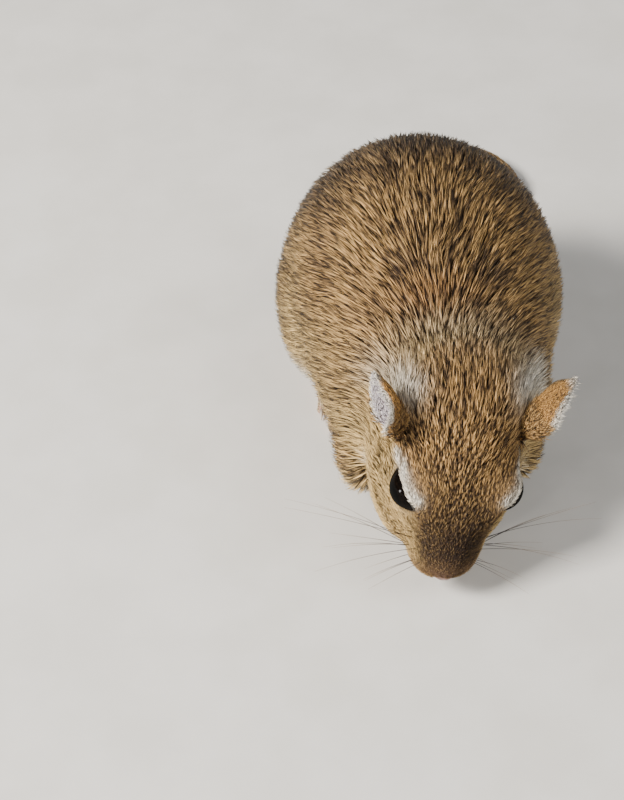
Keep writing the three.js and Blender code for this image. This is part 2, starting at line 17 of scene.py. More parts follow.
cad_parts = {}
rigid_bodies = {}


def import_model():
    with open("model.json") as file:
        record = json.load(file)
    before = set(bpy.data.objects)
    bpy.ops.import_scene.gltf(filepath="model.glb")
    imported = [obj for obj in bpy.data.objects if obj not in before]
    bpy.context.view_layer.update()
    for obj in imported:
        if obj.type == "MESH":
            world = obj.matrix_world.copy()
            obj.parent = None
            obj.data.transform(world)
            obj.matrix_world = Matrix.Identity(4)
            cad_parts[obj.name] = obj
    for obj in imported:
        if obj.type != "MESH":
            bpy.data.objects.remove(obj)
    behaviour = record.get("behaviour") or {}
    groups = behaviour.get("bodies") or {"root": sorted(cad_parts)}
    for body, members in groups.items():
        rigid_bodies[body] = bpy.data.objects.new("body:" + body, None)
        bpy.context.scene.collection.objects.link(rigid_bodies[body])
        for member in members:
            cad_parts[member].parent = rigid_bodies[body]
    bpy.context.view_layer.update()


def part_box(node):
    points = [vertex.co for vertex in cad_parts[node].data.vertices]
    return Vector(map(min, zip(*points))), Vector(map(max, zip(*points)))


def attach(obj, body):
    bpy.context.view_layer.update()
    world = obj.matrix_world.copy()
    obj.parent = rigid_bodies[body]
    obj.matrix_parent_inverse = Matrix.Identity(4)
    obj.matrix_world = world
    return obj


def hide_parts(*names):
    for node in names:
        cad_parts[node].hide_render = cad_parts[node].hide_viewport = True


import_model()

MM = 0.001

# Where the head hangs and how it is turned, in degrees: nose down, to its right, tipped over
NOSE_TIP = np.array([-1.4, -48.0, 5.5])
HEAD_TURN = Named(pitch=55.5, yaw=-13.5, roll=22.0)

# The masses of the trunk and, in the head's own frame, of the head: centre, radii, turn about z and x in
# degrees, softness of the blend, and whether it has a twin. The head's frame has x to its left, y back from
# the nose tip and z up from the snout
TRUNK = [
    ("rump", (0, 2.5, 23.2), (23.4, 25.6, 23.5), (0, 0), 0, False),
    ("shoulders", (0.5, -14, 20.5), (19, 17, 18), (0, 0), 8, False),
    ("haunch", (15, 6.5, 16.2), (9.2, 16, 13.2), (8, 0), 4, True),
    ("breast", (0.5, -21, 16), (17, 12.5, 12), (0, 0), 6, False),
    ("right_elbow", (-12.2, -25.8, 9.8), (4.8, 6.5, 6.2), (0, 0), 5, False),
    ("left_elbow", (12.6, -26.2, 10.5), (4.8, 6.5, 6.2), (0, 0), 5, False),
    ("nape", (2.5, -25, 22.5), (13.5, 11, 13.5), (0, 20), 7, False),
]
HEAD = [
    ("cranium", (0, 26, 0.5), (10.8, 10, 8.6), (0, 0), 6, False),
    ("face", (0, 16.5, 0.3), (8.9, 11, 7.6), (0, 0), 4, False),
    ("cheek", (5.6, 18, -4.8), (6.5, 9.6, 7), (0, 0), 4, True),
    ("jowl", (5.2, 13.2, -4.4), (5.4, 8.4, 5.8), (0, 0), 3, True),
    ("muzzle", (0, 8, 0), (5.2, 8.6, 5), (0, 0), 4, False),
    ("whisker_pad", (2.5, 4.8, -1.2), (3, 4.4, 3.2), (0, 0), 2, True),
    ("chin", (0, 8, -4), (3.8, 6, 2.8), (0, 0), 2, False),
    ("brow", (5.4, 15.4, 3.4), (3.7, 6.6, 3.1), (0, 0), 3, True),
]
JAW = Named(at=np.array([0, 7.2, -6.6]), radii=np.array([3.3, 5.4, 3.9]))
EYE = Named(at=np.array([6.8, 15.05, 3.25]), radius=3.6, facing=np.array([0.93, -0.369, -0.009]))
# Half breadths of the eye's opening in degrees from the way the eye faces, and its slant
EYE_OPENING = Named(long=69.0, above=57.0, below=36.0, tilt=-18.6)
EAR = Named(at=np.array([11.2, 25.4, 4.1]), length=9.7, sunk=3.4, width=9.4, thickness=0.55)
LID_RISE = 0.3  # how far the coat stands off the eyeball
NOSE = Named(at=np.array([0, 1.2, 0.1]), radii=np.array([2.1, 1.7, 1.55]))
TAIL = [
    (0, 22, 12.5), (2, 29.5, 8.4), (8, 36.5, 3.6), (16.5, 41.5, 2.2), (22.3, 49, 2.2),
    (19.5, 58, 2.2), (10, 63, 2.2), (-1, 61.5, 2.2), (-9.5, 54.5, 2.2), (-13.5, 44.5, 2.2),
]
TAIL_ROOT_RADIUS = 4.4
TAIL_RADIUS = 2.2
BRUSH_FROM = 0.73  # share of the way along the tail
HIND_FOOT = Named(toe_y=-11.0, heel_y=16.0, x=14.0, turn=1.0)
FORE_PAW = Named(x=4.4, y=-28.5, turn=-4.0)

TRUNK_DEPTH = 2.2  # of the coat over the skin
FLOOR_CLEAR = 0.05  # what touches the floor stays this far above it
AT_ONCE = 400000  # points worked out in one go, for the sake of memory


# Small helpers


def smooth(x, low, high):
    """0 below low, 1 above high, and 3u^2 - 2u^3 between."""
    u = np.clip((np.asarray(x, float) - low) / (high - low), 0, 1)
    return u * u * (3 - 2 * u)


def mix(a, b, share):
    """a + (b - a) * share."""
    return a + (b - a) * share


def length_of(v):
    """The length of each vector."""
    return np.sqrt((v * v).sum(-1))


def unit(v):
    """Each vector divided by its length."""
    return v / np.maximum(length_of(v), 1e-9)[..., None]


def about(axis, degrees):
    """The matrix that turns a column vector about one axis."""
    return np.array(Matrix.Rotation(math.radians(degrees), 3, axis))


def waves(points, size, seed, count=7):
    """Even noise from about -1 to 1 with bumps `size` mm across: sines in random directions, added up."""
    rng = np.random.default_rng(seed)
    ways = unit(rng.normal(size=(count, 3))) * (2 * np.pi / size) * rng.uniform(0.6, 1.5, (count, 1))
    return np.sin(points @ ways.T + rng.uniform(0, 2 * np.pi, count)).sum(-1) / math.sqrt(count / 2) / 1.5


HEAD_AXES = about("Z", HEAD_TURN.yaw) @ about("X", HEAD_TURN.pitch) @ about("Y", HEAD_TURN.roll)


def from_head(p):
    """Points of the head's own frame in the animal's."""
    return NOSE_TIP + np.asarray(p, float) @ HEAD_AXES.T


def to_head(p):
    """Points of the animal's frame in the head's own."""
    return (p - NOSE_TIP) @ HEAD_AXES


def mirrored(p, side):
    """Points or ways of the left side taken to a side: 1 is the left, -1 the right."""
    return np.asarray(p, float) * np.array([side, 1, 1])


def along_surface(way, out):
    """The part of a way that lies along the surface with normal out, of length 1."""
    return unit(way - out * (way * out).sum(1)[:, None])


def box_centre(node):
    """The middle of a solid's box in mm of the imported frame."""
    low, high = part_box(node)
    return (np.array(low) + np.array(high)) / 2 / MM


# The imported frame's origin stands at the middle of the solids' underside: the eyes say how far it moved
SIDES = (("left", 1), ("right", -1))
SHIFT = np.mean([box_centre("eye_" + h) - from_head(mirrored(EYE.at, side)) for h, side in SIDES], axis=0)


# The eyes' openings

# The bowl in the coat round an eye: the lean of its wall, degrees from the opening's edge to the wall's foot,
# how far below the eyeball's surface its floor lies, and how softly its edge is rounded
BOWL_LEAN = 0.15
BOWL_EDGE = 1.5
BOWL_FLOOR = 0.3
BOWL_BLEND = 0.8
BOWL_REACH = 4.5


def eye_margin(own, side):
    """Degrees from the edge of the eye's opening, an almond seen along the way the eye faces, and the turn
    about that way, where 0 is towards the ear."""
    d = unit(own - mirrored(EYE.at, side))
    facing, back, over = (mirrored(v, side) for v in EYE_AXES)
    x, y = d @ back, d @ over
    angle = np.degrees(np.arccos(np.clip(d @ facing, -1, 1)))
    turn = np.arctan2(y, x)
    return angle - opening(turn), turn


def opening(turn):
    """Half the opening's breadth in degrees, drawn out to a point at each corner and flatter below."""
    below = 1 - smooth(np.sin(turn), -0.5, 0.3)
    short = mix(EYE_OPENING.above, EYE_OPENING.below, below)
    return mix(short, EYE_OPENING.long, np.abs(np.cos(turn)) ** mix(3, 6, below))


def eye_axes():
    """The way the left eye faces, and the ways to its rear corner and its upper lid."""
    facing = unit(EYE.facing)
    level = unit(np.cross([0, 0, 1], facing))
    tilt = math.radians(EYE_OPENING.tilt)
    back = level * math.cos(tilt) + np.cross(facing, level) * math.sin(tilt)
    return facing, back, np.cross(facing, back)


EYE_AXES = eye_axes()


# The body's shape


def placed(masses, origin, axes, is_head):
    """The masses of one list in the animal's frame, each twin mirrored to its own side."""
    out = []
    for _, at, radii, (turn_z, turn_x), blend, twin in masses:
        for side in (1, -1) if twin else (1,):
            own = axes @ np.diag([side, 1, 1]) @ about("Z", turn_z) @ about("X", turn_x)
            centre = origin + axes @ mirrored(at, side)
            out.append(Named(at=centre, axes=own, radii=np.array(radii, float), blend=blend, head=is_head))
    return out


EYE_MOUND = ("eye_mound", tuple(EYE.at), (EYE.radius + LID_RISE,) * 3, (0, 0), 1.3, True)
MASSES = placed(TRUNK, np.zeros(3), np.eye(3), 0.0) + placed(HEAD + [EYE_MOUND], NOSE_TIP, HEAD_AXES, 1.0)


def path_through(points, count):
    """Points at even steps along a centripetal Catmull-Rom curve, whose knots are as far apart as the square
    roots of the chords."""
    p = np.array(points, float)
    p = np.vstack([2 * p[0] - p[1], p, 2 * p[-1] - p[-2]])
    knot = np.sqrt(length_of(np.diff(p, axis=0)))
    u = np.linspace(0, 1, 40)[:, None]
    runs = []
    for i in range(1, len(p) - 2):
        a, b, c, d = p[i - 1 : i + 3]
        k0, k1, k2 = knot[i - 1 : i + 2]
        leave = ((b - a) / k0 - (c - a) / (k0 + k1) + (c - b) / k1) * k1
        arrive = ((c - b) / k1 - (d - b) / (k1 + k2) + (d - c) / k2) * k1
        bend = -3 * b + 3 * c - 2 * leave - arrive
        runs.append(b + leave * u + bend * u**2 + (2 * b - 2 * c + leave + arrive) * u**3)
    line = np.vstack(runs)
    along = np.concatenate([[0], np.cumsum(length_of(np.diff(line, axis=0)))])
    even = np.linspace(0, along[-1], count)
    return np.stack([np.interp(even, along, line[:, i]) for i in range(3)], 1)


def tube(points, radius, count=48, blend=2.0):
    """A round limb along a path, with radius(t) at each share t of the way."""
    line = path_through(points, count)
    along = unit(np.gradient(line, axis=0))
    return Named(line=line, along=along, radii=radius(np.linspace(0, 1, count)), blend=blend)


def outside_mass(mass, p):
    """Rough distance outside an ellipsoid, k(k - 1) / |grad k| with k the scaled radius, and the way out."""
    local = (p - mass.at) @ mass.axes
    scaled = local / mass.radii
    steep = scaled / mass.radii
    near = length_of(scaled)
    slope = np.maximum(length_of(steep), 1e-9)
    return near * (near - 1) / slope, (steep / slope[:, None]) @ mass.axes.T


def outside_tube(limb, p):
    """Distance outside a round limb: from its line at the nearest sample, less the radius there."""
    nearest = np.empty(len(p), int)
    for start in range(0, len(p), AT_ONCE // 2):
        part = slice(start, start + AT_ONCE // 2)
        gaps = -2 * p[part] @ limb.line.T + (limb.line**2).sum(1)
        nearest[part] = gaps.argmin(1)
    offset = p - limb.line[nearest]
    along = (offset * limb.along[nearest]).sum(1)
    step = length_of(limb.line[1] - limb.line[0])
    offset = offset - limb.along[nearest] * np.clip(along, -step / 2, step / 2)[:, None]
    far = length_of(offset)
    return far - limb.radii[nearest], offset / np.maximum(far, 1e-9)[:, None]


def join_softly(d, g, e, ge, blend):
    """The soft minimum min(d, e) - h^2 k / 4, where h = max(k - |d - e|, 0) / k, its slope, and the share of
    the newcomer in it."""
    h = np.maximum(blend - np.abs(d - e), 0) / max(blend, 1e-6)
    share = np.where(e < d, 1 - h / 2, h / 2)
    return np.minimum(d, e) - h * h * blend / 4, g + (ge - g) * share[:, None], share


def coat_field(p):
    """How far points lie outside the coat, the way out, and how much each belongs to the head: the soft
    minimum of all masses, less the bowls in which the eyes lie."""
    d, g = outside_mass(MASSES[0], p)
    head = np.zeros(len(p))
    for mass in MASSES[1:]:
        e, ge = outside_mass(mass, p)
        d, g, share = join_softly(d, g, e, ge, mass.blend)
        head += (mass.head - head) * share
    own = to_head(p)
    for side in (1, -1):
        near = socket(own, side) < BOWL_REACH
        s, gs = eye_bowl(own[near], side)
        d_near, g_near, _ = join_softly(-d[near], -g[near], -s, -gs @ HEAD_AXES.T, BOWL_BLEND)
        d[near], g[near] = -d_near, -g_near
    return d, g, head


def eye_bowl(own, side):
    """How high points lie over the wall of the bowl in which the eye lies, and its slope: BOWL_LEAN times the
    height over the eyeball, less the arc past the lids' edge. The wall stands nearly square to the eyeball,
    and the bowl goes down to BOWL_FLOOR below the eyeball's surface."""
    from_eye = own - mirrored(EYE.at, side)
    far = np.maximum(length_of(from_eye), 0.3)
    radial = from_eye / far[:, None]
    facing = mirrored(EYE_AXES[0], side)
    tangent = unit(radial * (radial @ facing)[:, None] - facing)
    height = far - EYE.radius
    s = BOWL_LEAN * height - EYE.radius * np.radians(eye_margin(own, side)[0] - BOWL_EDGE)
    gs = BOWL_LEAN * radial - tangent * (EYE.radius / far)[:, None]
    s, gs = s / math.sqrt(1 + BOWL_LEAN**2), gs / math.sqrt(1 + BOWL_LEAN**2)
    low = s > height + BOWL_FLOOR
    return np.where(low, height + BOWL_FLOOR, s), np.where(low[:, None], radial, gs)


def coat_depth(p, head):
    """How deep the coat is: least at the nose and on the eyelids, more over the head and most on the back."""
    own = to_head(p)
    over_head = np.interp(own[:, 1], [0, 4, 10, 20, 32], [0.3, 0.35, 0.6, 1.0, 1.7])
    for side in (1, -1):
        over_head = mix(0.13, over_head, smooth(socket(own, side), 0.4, 2.8))
    return mix(TRUNK_DEPTH, over_head, head)


def socket(own, side):
    """How far points lie outside the eyeball."""
    return length_of(own - mirrored(EYE.at, side)) - EYE.radius


def mouth_line(own):
    """Depth of the groove between the lips, exp(-(gap / w)^2) along the edge of the lower jaw's own rounded
    form, with the lips raised beside it and the cleft of the upper lip."""
    scaled = (own - JAW.at) / JAW.radii
    near = length_of(scaled)
    gap = near * (near - 1) / np.maximum(length_of(scaled / JAW.radii), 1e-9)
    front = (1 - smooth(own[:, 1], 8.5, 11.5)) * smooth(own[:, 2], -8.5, -6)
    groove = 0.75 * np.exp(-((gap / 0.3) ** 2))
    lips = 0.28 * np.exp(-(((np.abs(gap) - 0.8) / 0.55) ** 2))
    below_nose = smooth(own[:, 2], -5.5, -3.5) * (1 - smooth(own[:, 2], -1.6, -0.8))
    cleft = 0.6 * np.exp(-((own[:, 0] / 0.3) ** 2)) * below_nose
    return front * (groove - lips) + cleft * (1 - smooth(own[:, 1], 3, 5))


def skin_field(p, limbs=()):
    """The skin: the coat's form less the coat's depth, joined with the limbs and tail, the mouth sunk in."""
    d, g, head = coat_field(p)
    d = d + coat_depth(p, head)
    own = to_head(p)
    near_head = own[:, 1] < 24
    d[near_head] += (mouth_line(own) * head)[near_head]
    for limb in limbs:
        reach = np.abs(p[:, None, :] - limb.line[None, ::12, :]).max(-1).min(1) < 12
        e, ge = outside_tube(limb, p[reach])
        d[reach], g[reach], _ = join_softly(d[reach], g[reach], e, ge, limb.blend)
    return d, g


# Turning a shape into a mesh


def filled_grid(field, low, high, step, block=8):
    """Values on a grid, worked out only in the blocks that the surface may pass through."""
    counts = [int(math.ceil((high[i] - low[i]) / step / block)) for i in range(3)]
    low = np.array(low, float)
    corner = np.stack(np.meshgrid(*[np.arange(c) for c in counts], indexing="ij"), -1).reshape(-1, 3)
    centre = low + (corner + 0.5) * block * step
    rough = field(centre)[0]
    values = np.repeat(np.repeat(np.repeat(rough.reshape(counts), block, 0), block, 1), block, 2)
    close = np.abs(rough) < block * step * 1.1
    local = np.stack(np.meshgrid(*[np.arange(block)] * 3, indexing="ij"), -1).reshape(-1, 3)
    index = (corner[close][:, None, :] * block + local).reshape(-1, 3)
    for start in range(0, len(index), AT_ONCE):
        part = index[start : start + AT_ONCE]
        values[part[:, 0], part[:, 1], part[:, 2]] = field(low + part * step)[0]
    return values, low


def surface_of(values, low, step):
    """A closed mesh of quads where the grid's values pass nought: one vertex a cell, at the mean of the
    places where its edges cross, and one quad round each crossed edge."""
    inside = values < 0
    corners = np.array([(i, j, k) for i in (0, 1) for j in (0, 1) for k in (0, 1)])
    shape = np.array(values.shape) - 1
    cut = [tuple(slice(a, a + n) for a, n in zip(corner, shape)) for corner in corners]
    count = sum(inside[part].astype(np.int8) for part in cut)
    cells = np.argwhere((count > 0) & (count < 8))
    index = np.full(shape, -1, np.int64)
    index[tuple(cells.T)] = np.arange(len(cells))
    at = cells[:, None, :] + corners
    corner_values = values[at[..., 0], at[..., 1], at[..., 2]]
    total = np.zeros((len(cells), 3))
    crossings = np.zeros(len(cells))
    for a in range(8):
        for b in range(a + 1, 8):
            if np.abs(corners[a] - corners[b]).sum() != 1:
                continue
            va, vb = corner_values[:, a], corner_values[:, b]
            crossed = (va < 0) != (vb < 0)
            share = np.where(crossed, va / np.where(crossed, va - vb, 1), 0)
            total += np.where(crossed[:, None], corners[a] + share[:, None] * (corners[b] - corners[a]), 0)
            crossings += crossed
    points = low + (cells + total / crossings[:, None]) * step
    quads = []
    for axis in range(3):
        u, v = (axis + 1) % 3, (axis + 2) % 3
        first = np.moveaxis(inside, axis, 0)
        crossed = np.moveaxis(first[1:] != first[:-1], 0, axis)
        edges = np.argwhere(crossed)
        edges = edges[(edges[:, [u, v]] > 0).all(1) & (edges[:, [u, v]] < shape[[u, v]]).all(1)]
        ring = []
        for du, dv in ((-1, -1), (0, -1), (0, 0), (-1, 0)):
            cell = edges.copy()
            cell[:, u] += du
            cell[:, v] += dv
            ring.append(index[tuple(cell.T)])
        ring = np.stack(ring, 1)
        outward = inside[tuple(edges.T)]
        quads.append(np.where(outward[:, None], ring, ring[:, ::-1]))
    return points, np.vstack(quads)


def settle(field, points, rounds=3, most=0.4):
    """Moves points onto the field's surface by Newton's steps along the way out."""
    for _ in range(rounds):
        d, g = field(points)[:2]
        points = points - np.clip(d, -most, most)[:, None] * g / np.maximum((g * g).sum(1), 0.3)[:, None]
    return points


def halved(quads):
    """The two triangles of each quad."""
    return np.vstack([quads[:, [0, 1, 2]], quads[:, [0, 2, 3]]])


def mesh_of(name, points, faces):
    """A mesh from points in mm in the animal's frame and quads or triangles."""
    mesh = bpy.data.meshes.new(name)
    faces = np.asarray(faces)
    mesh.vertices.add(len(points))
    mesh.vertices.foreach_set("co", ((points + SHIFT) * MM).astype(np.float32).ravel())
    mesh.loops.add(faces.size)
    mesh.loops.foreach_set("vertex_index", faces.astype(np.int32).ravel())
    mesh.polygons.add(len(faces))
    mesh.polygons.foreach_set("loop_start", np.arange(0, faces.size, faces.shape[1], dtype=np.int32))
    mesh.update(calc_edges=True)
    mesh.polygons.foreach_set("use_smooth", np.ones(len(faces), bool))
    return mesh


def piece(mesh, material, slot, nodes=()):
    """An object of the animal's one body, with its material, in place of the named solids. The slot is not
    used.
    """
    thing = bpy.data.objects.new(mesh.name, mesh)
    bpy.context.scene.collection.objects.link(thing)
    mesh.materials.clear()
    mesh.materials.append(material)
    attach(thing, "root")
    if nodes:
        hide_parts(*nodes)
    return thing


def paint(mesh, name, values):
    """A colour or number for each vertex."""
    values = np.asarray(values, np.float32)
    if values.ndim == 1:
        mesh.attributes.new(name, "FLOAT", "POINT").data.foreach_set("value", values)
    else:
        full = np.concatenate([values, np.ones((len(values), 1), np.float32)], 1)
        mesh.attributes.new(name, "FLOAT_COLOR", "POINT").data.foreach_set("color", full.ravel())


# The legs, feet and tail


def tail_radius(t):
    """The furred tail's radius: thick at its root, even from its middle on, a little less to the end."""
    return mix(mix(TAIL_ROOT_RADIUS, TAIL_RADIUS, smooth(t, 0, 0.42)), TAIL_RADIUS * 0.82, t)


def forearm(side):
    """From the elbow forward and in to the wrist."""
    path = [(12, -20.5, 10), (10.4, -24, 6.4), (7.6, -25.6, 4.2), (5.6, -25.9, 3), (4.4, -28.5, 1.9)]
    return tube([mirrored(p, side) for p in path], lambda t: mix(2.7, 1.25, smooth(t, 0, 0.75)), blend=2.5)


TAIL_FLESH = tube(TAIL, lambda t: tail_radius(t) - 0.5 - 0.6 * smooth(t, 0.75, 1), count=200, blend=3.0)
LIMBS = [TAIL_FLESH, forearm(1), forearm(-1)]


def toe(base, bearing, long, radius):
    """A toe arched over its knuckle down to its tip, and the claw that curves on from there."""
    way = np.array([math.sin(math.radians(bearing)), -math.cos(math.radians(bearing)), 0])
    base = np.array(base, float)
    knuckle = base + way * long * 0.5
    knuckle[2] = base[2] + radius * 0.3
    tip = base + way * long
    tip[2] = radius * 0.85
    claw = np.array([tip - way * radius * 0.3, tip + way * radius * 1.3, tip + way * radius * 2.3])
    claw[:, 2] += [radius * 0.15, radius * 0.25, -radius * 0.5]
    return (base, knuckle, tip), lambda t: radius * (1 - 0.2 * t + 0.12 * np.sin(2 * np.pi * t)), claw


def hind_foot():
    """Long and flat: five bones side by side from the heel, the outer toes shorter and set back. Each limb is
    given as its path, its radius and the softness of its blend."""
    long = HIND_FOOT.heel_y - HIND_FOOT.toe_y
    heel = [(0, long * 0.5, 5), (0, long * 0.44, 3.4), (0, long * 0.36, 2.5)]
    limbs = [(heel, lambda t: mix(2.0, 1.7, t), 1.0)]
    claws = []
    for i in (-2, -1, 0, 1, 2):
        outer = abs(i) == 2
        base = (i * 1.35, -long * (0.05 if outer else 0.11), 1.4)
        bone = [(i * 0.5, long * 0.42, 2.5), (i * 0.85, long * 0.2, 1.9), (i * 1.2, long * 0.04, 1.6), base]
        limbs.append((bone, lambda t: mix(1.45, 1.1, t), 0.9))
        path, radius, claw = toe(base, i * 4.5, (6.4 if outer else 9) - abs(i) * 0.35, 0.98 if outer else 1.1)
        limbs.append((path, radius, 0.35))
        claws.append((claw, 0.5))
    return limbs, claws


def fore_paw():
    """A small palm with four toes, and the thumb a mere nub."""
    limbs, claws = [], []
    for i in (-1.5, -0.5, 0.5, 1.5):
        base = (i * 1.15, -1.5 + abs(i) * 0.35, 1.1)
        limbs.append(([(i * 0.6, 2.6, 2.2), (i * 1.0, 0.6, 1.5), base], lambda t: mix(1.25, 0.9, t), 0.8))
        path, radius, claw = toe(base, i * 11, 4.4 - abs(i) * 0.45, 0.76)
        limbs.append((path, radius, 0.3))
        claws.append((claw, 0.36))
    limbs.append(([(-1.9, 0.6, 1.1), (-2.9, -0.3, 0.8)], lambda t: mix(0.6, 0.5, t), 0.3))
    return limbs, claws


def set_down(points, x, y, turn, side, twin):
    """Points of a foot's own frame at its place on the floor, turned outwards, and mirrored for a twin."""
    points = np.array(points, float)
    if twin:
        points = mirrored(points, side)
    return points @ about("Z", -side * turn).T + [x * side, y, 0]


def joined(limbs):
    """The field of several round limbs, each joined softly to those before it."""

    def field(p):
        d, g = outside_tube(limbs[0], p)
        for limb in limbs[1:]:
            e, ge = outside_tube(limb, p)
            d, g, _ = join_softly(d, g, e, ge, limb.blend)
        return d, g

    return field


# The coat's markings, lie and length


def colour(*rgb):
    """Linear values of a colour as it looks on a screen, 0 to 255."""
    c = np.array(rgb) / 255
    return np.where(c <= 0.04045, c / 12.92, ((c + 0.055) / 1.055) ** 2.4)


GOLD = colour(188, 148, 92)
WARM = colour(106, 87, 64)
RUSSET = colour(150, 100, 52)
AMBER = colour(188, 146, 90)
CREAM = colour(216, 182, 120)
PALE = colour(238, 230, 214)
SILVER = colour(206, 192, 168)
SMOKE = colour(54, 32, 11)
DUN = colour(140, 108, 76)
SABLE = colour(38, 26, 18)
UNDERCOAT = colour(84, 72, 64)
PARTINGS = [  # places on the back where the hair parts and the slate below it shows, and how far
    ((-0.7, -6.0, 44.0), 1.5), ((-3.3, -16.5, 39.4), 1.9), ((0.2, -17.4, 39.3), 1.6),
    ((2.4, -16.2, 39.8), 1.6), ((4.2, -12.5, 41.1), 1.3), ((5.1, -8.6, 42.4), 1.2),
    ((7.5, -16.4, 38.2), 1.9), ((9.1, -16.8, 37.1), 1.7), ((9.9, -17.5, 36.3), 1.4),
]
# The pale streaks on the side of the head: from, to and how wide
OVER_EYE = ((9.4, 18, 5.0), (7.0, 12.8, 6.9), 0.95)
BEHIND_EAR = ((9.6, 28.2, 4.4), (13, 30.5, -4), 3.1)
EYE_TO_EAR = ((9.7, 18.6, 2.6), (11.4, 25, 1.4), 1.3)


def spot(p, at, radii):
    """1 at a place, falling off as exp(-r^2) over the given radii."""
    return np.exp(-(((p - at) / radii) ** 2).sum(1))


def streak(own, side, a, b, wide):
    """1 along the line from a to b on one side of the head, falling off as exp(-(r / wide)^2) from it."""
    a, b = mirrored(a, side), mirrored(b, side)
    share = np.clip(((own - a) @ (b - a)) / ((b - a) @ (b - a)), 0, 1)
    return np.exp(-(length_of(own - a - share[:, None] * (b - a)) ** 2) / wide**2)


def markings(p, out, head):
    """The coat's ground colour, and how thickly it is ticked with black: golden on the back and darker over
    the rump, partly as painted shade, cream down the flanks and darker half-way down, partly as painted shade
    between the strands, pale below, and the head's darker crown and muzzle and pale marks."""
    own = to_head(p)
    blotch = waves(p, 14, 3)
    over = smooth(out[:, 2] + 0.08 * blotch, -0.15, 0.78)
    ground = mix(CREAM, GOLD, over[:, None])
    # Half-way down the flanks the ground is darker and more ticked: partly dark hair tips, partly painted
    # shade between the strands.
    flank = np.exp(-(((out[:, 2] - 0.22) / 0.24) ** 2))
    ground = ground * (1 - 0.14 * flank[:, None])
    # Over the top of the rump the ground turns dark brown and more ticked: partly the coat's own colour,
    # partly painted shade where the rump faces away from the light.
    rump = smooth(p[:, 1] + 2 * blotch, -10, 12) * smooth(out[:, 2], 0.1, 0.7)
    ground = mix(ground, WARM, 0.95 * rump[:, None])
    nape = spot(p, [4, -29, 36], [11, 6, 8])
    ground = mix(ground, SILVER, 0.6 * nape[:, None])
    saddle = spot(p, [0.3, -20.8, 37.5], [6, 3.5, 6])
    ground = mix(ground, RUSSET, 0.7 * saddle[:, None])
    ticking = mix(0.52, 0.72, over) + 0.16 * rump + 0.2 * flank + 0.08 * blotch
    for at, wide in PARTINGS:
        parted = np.exp(-(length_of(p - at) / wide) ** 2)
        ticking = ticking + 0.6 * parted
        ground = mix(ground, UNDERCOAT * 0.7, 0.6 * parted[:, None])
    lower = smooth(-out[:, 2], 0.1, 0.55)

    up = (out @ HEAD_AXES)[:, 2]
    crown = smooth(own[:, 2] + 3 * up + 0.5 * blotch, 1.6, 5.0)
    forward = 1 - smooth(own[:, 1], 8, 22)
    face = mix(CREAM * 0.86, AMBER * mix(1, 0.42, forward)[:, None], crown[:, None])
    bridge = spot(own, (0.3, 6.0, 5.0), (3.6, 3.8, 2.8))
    snout = 1 - smooth(own[:, 1], 2, 10)
    face = mix(face, SMOKE, np.clip(0.85 * bridge + snout * mix(0.1, 0.5, crown), 0, 0.9)[:, None])
    tip = 1 - smooth(own[:, 1], 0.8, 4.2)
    face = mix(face, DUN, 0.75 * tip[:, None])
    face_ticking = mix(0.24, 0.76, crown) + 0.08 * forward * crown - 0.35 * tip
    lower = mix(lower, smooth(-up, 0.3, 0.8) * smooth(-own[:, 2], 1, 4), head)
    head = head[:, None]
    ground = mix(ground, face, head)
    ticking = mix(ticking, face_ticking, head[:, 0])
    for side in (1, -1):
        behind_ear = streak(own, side, *BEHIND_EAR)
        pale = streak(own, side, *OVER_EYE) + behind_ear + streak(own, side, *EYE_TO_EAR)
        pale = np.clip(1.15 * pale, 0, 1)[:, None]
        ground = mix(ground, PALE, pale * 0.9)
        ticking = ticking * (1 - 0.7 * pale[:, 0])
        ticking = ticking * (1 - 0.9 * np.clip(behind_ear, 0, 1))
    ground = mix(ground, PALE, lower[:, None] * 0.9)
    return ground, np.clip(ticking * (1 - 0.8 * lower), 0.02, 1)


def lie(p, out, head):
    """The way the hair lies: back from the nose, over the body to the tail, fanning out and down the flanks,
    parting round the eyes."""
    own = to_head(p)
    far = smooth(p[:, 1], 4, 27)
    body = np.stack([0.6 * np.clip(p[:, 0] / 20, -1, 1), mix(1, 0.45, far), mix(-0.4, -1.1, far)], 1)
    local = np.stack([0.25 * own[:, 0] / 8, np.ones(len(p)), np.where(own[:, 2] < -2, -0.35, 0.05)], 1)
    for side in (1, -1):
        away = own - mirrored(EYE.at, side)
        near = 1 - smooth(length_of(away), 3.9, 6.6)
        away = unit(away)
        towards = np.maximum(-(local * away).sum(1), 0)
        local += away * (near * (towards + 0.15))[:, None]
    way = mix(body, local @ HEAD_AXES.T, head[:, None])
    drift = np.stack([waves(p, 9, seed) for seed in (11, 12, 13)], 1) * mix(0.12, 0.06, head)[:, None]
    return along_surface(unit(way) + drift, out)


def hair_size(p, out, head):
    """Length and width of the single tufts and the spacing of the locks they stand in, in mm: smallest at
    the nose, longest on the rump."""
    y = to_head(p)[:, 1]
    long = mix(5.0, np.interp(y, [0, 3, 8, 15, 24, 36], [0.55, 0.85, 1.3, 1.9, 2.6, 4.0]), head)
    wide = mix(0.18, np.interp(y, [0, 5, 12, 24, 36], [0.09, 0.11, 0.14, 0.155, 0.17]), head)
    apart = mix(0.44, np.interp(y, [0, 4, 12, 24, 36], [0.17, 0.22, 0.31, 0.37, 0.4]), head)
    below = smooth(-out[:, 2], 0.3, 0.8)
    return long * mix(1, 0.8, below), wide * mix(1, 1.6, below), apart * mix(1, 1.6, below)


# Tufts

PATCH = 0.003  # breadth of a tuft's patch on the unwrap
RIDGE = 0.7  # height of a tuft's ridge against half its width


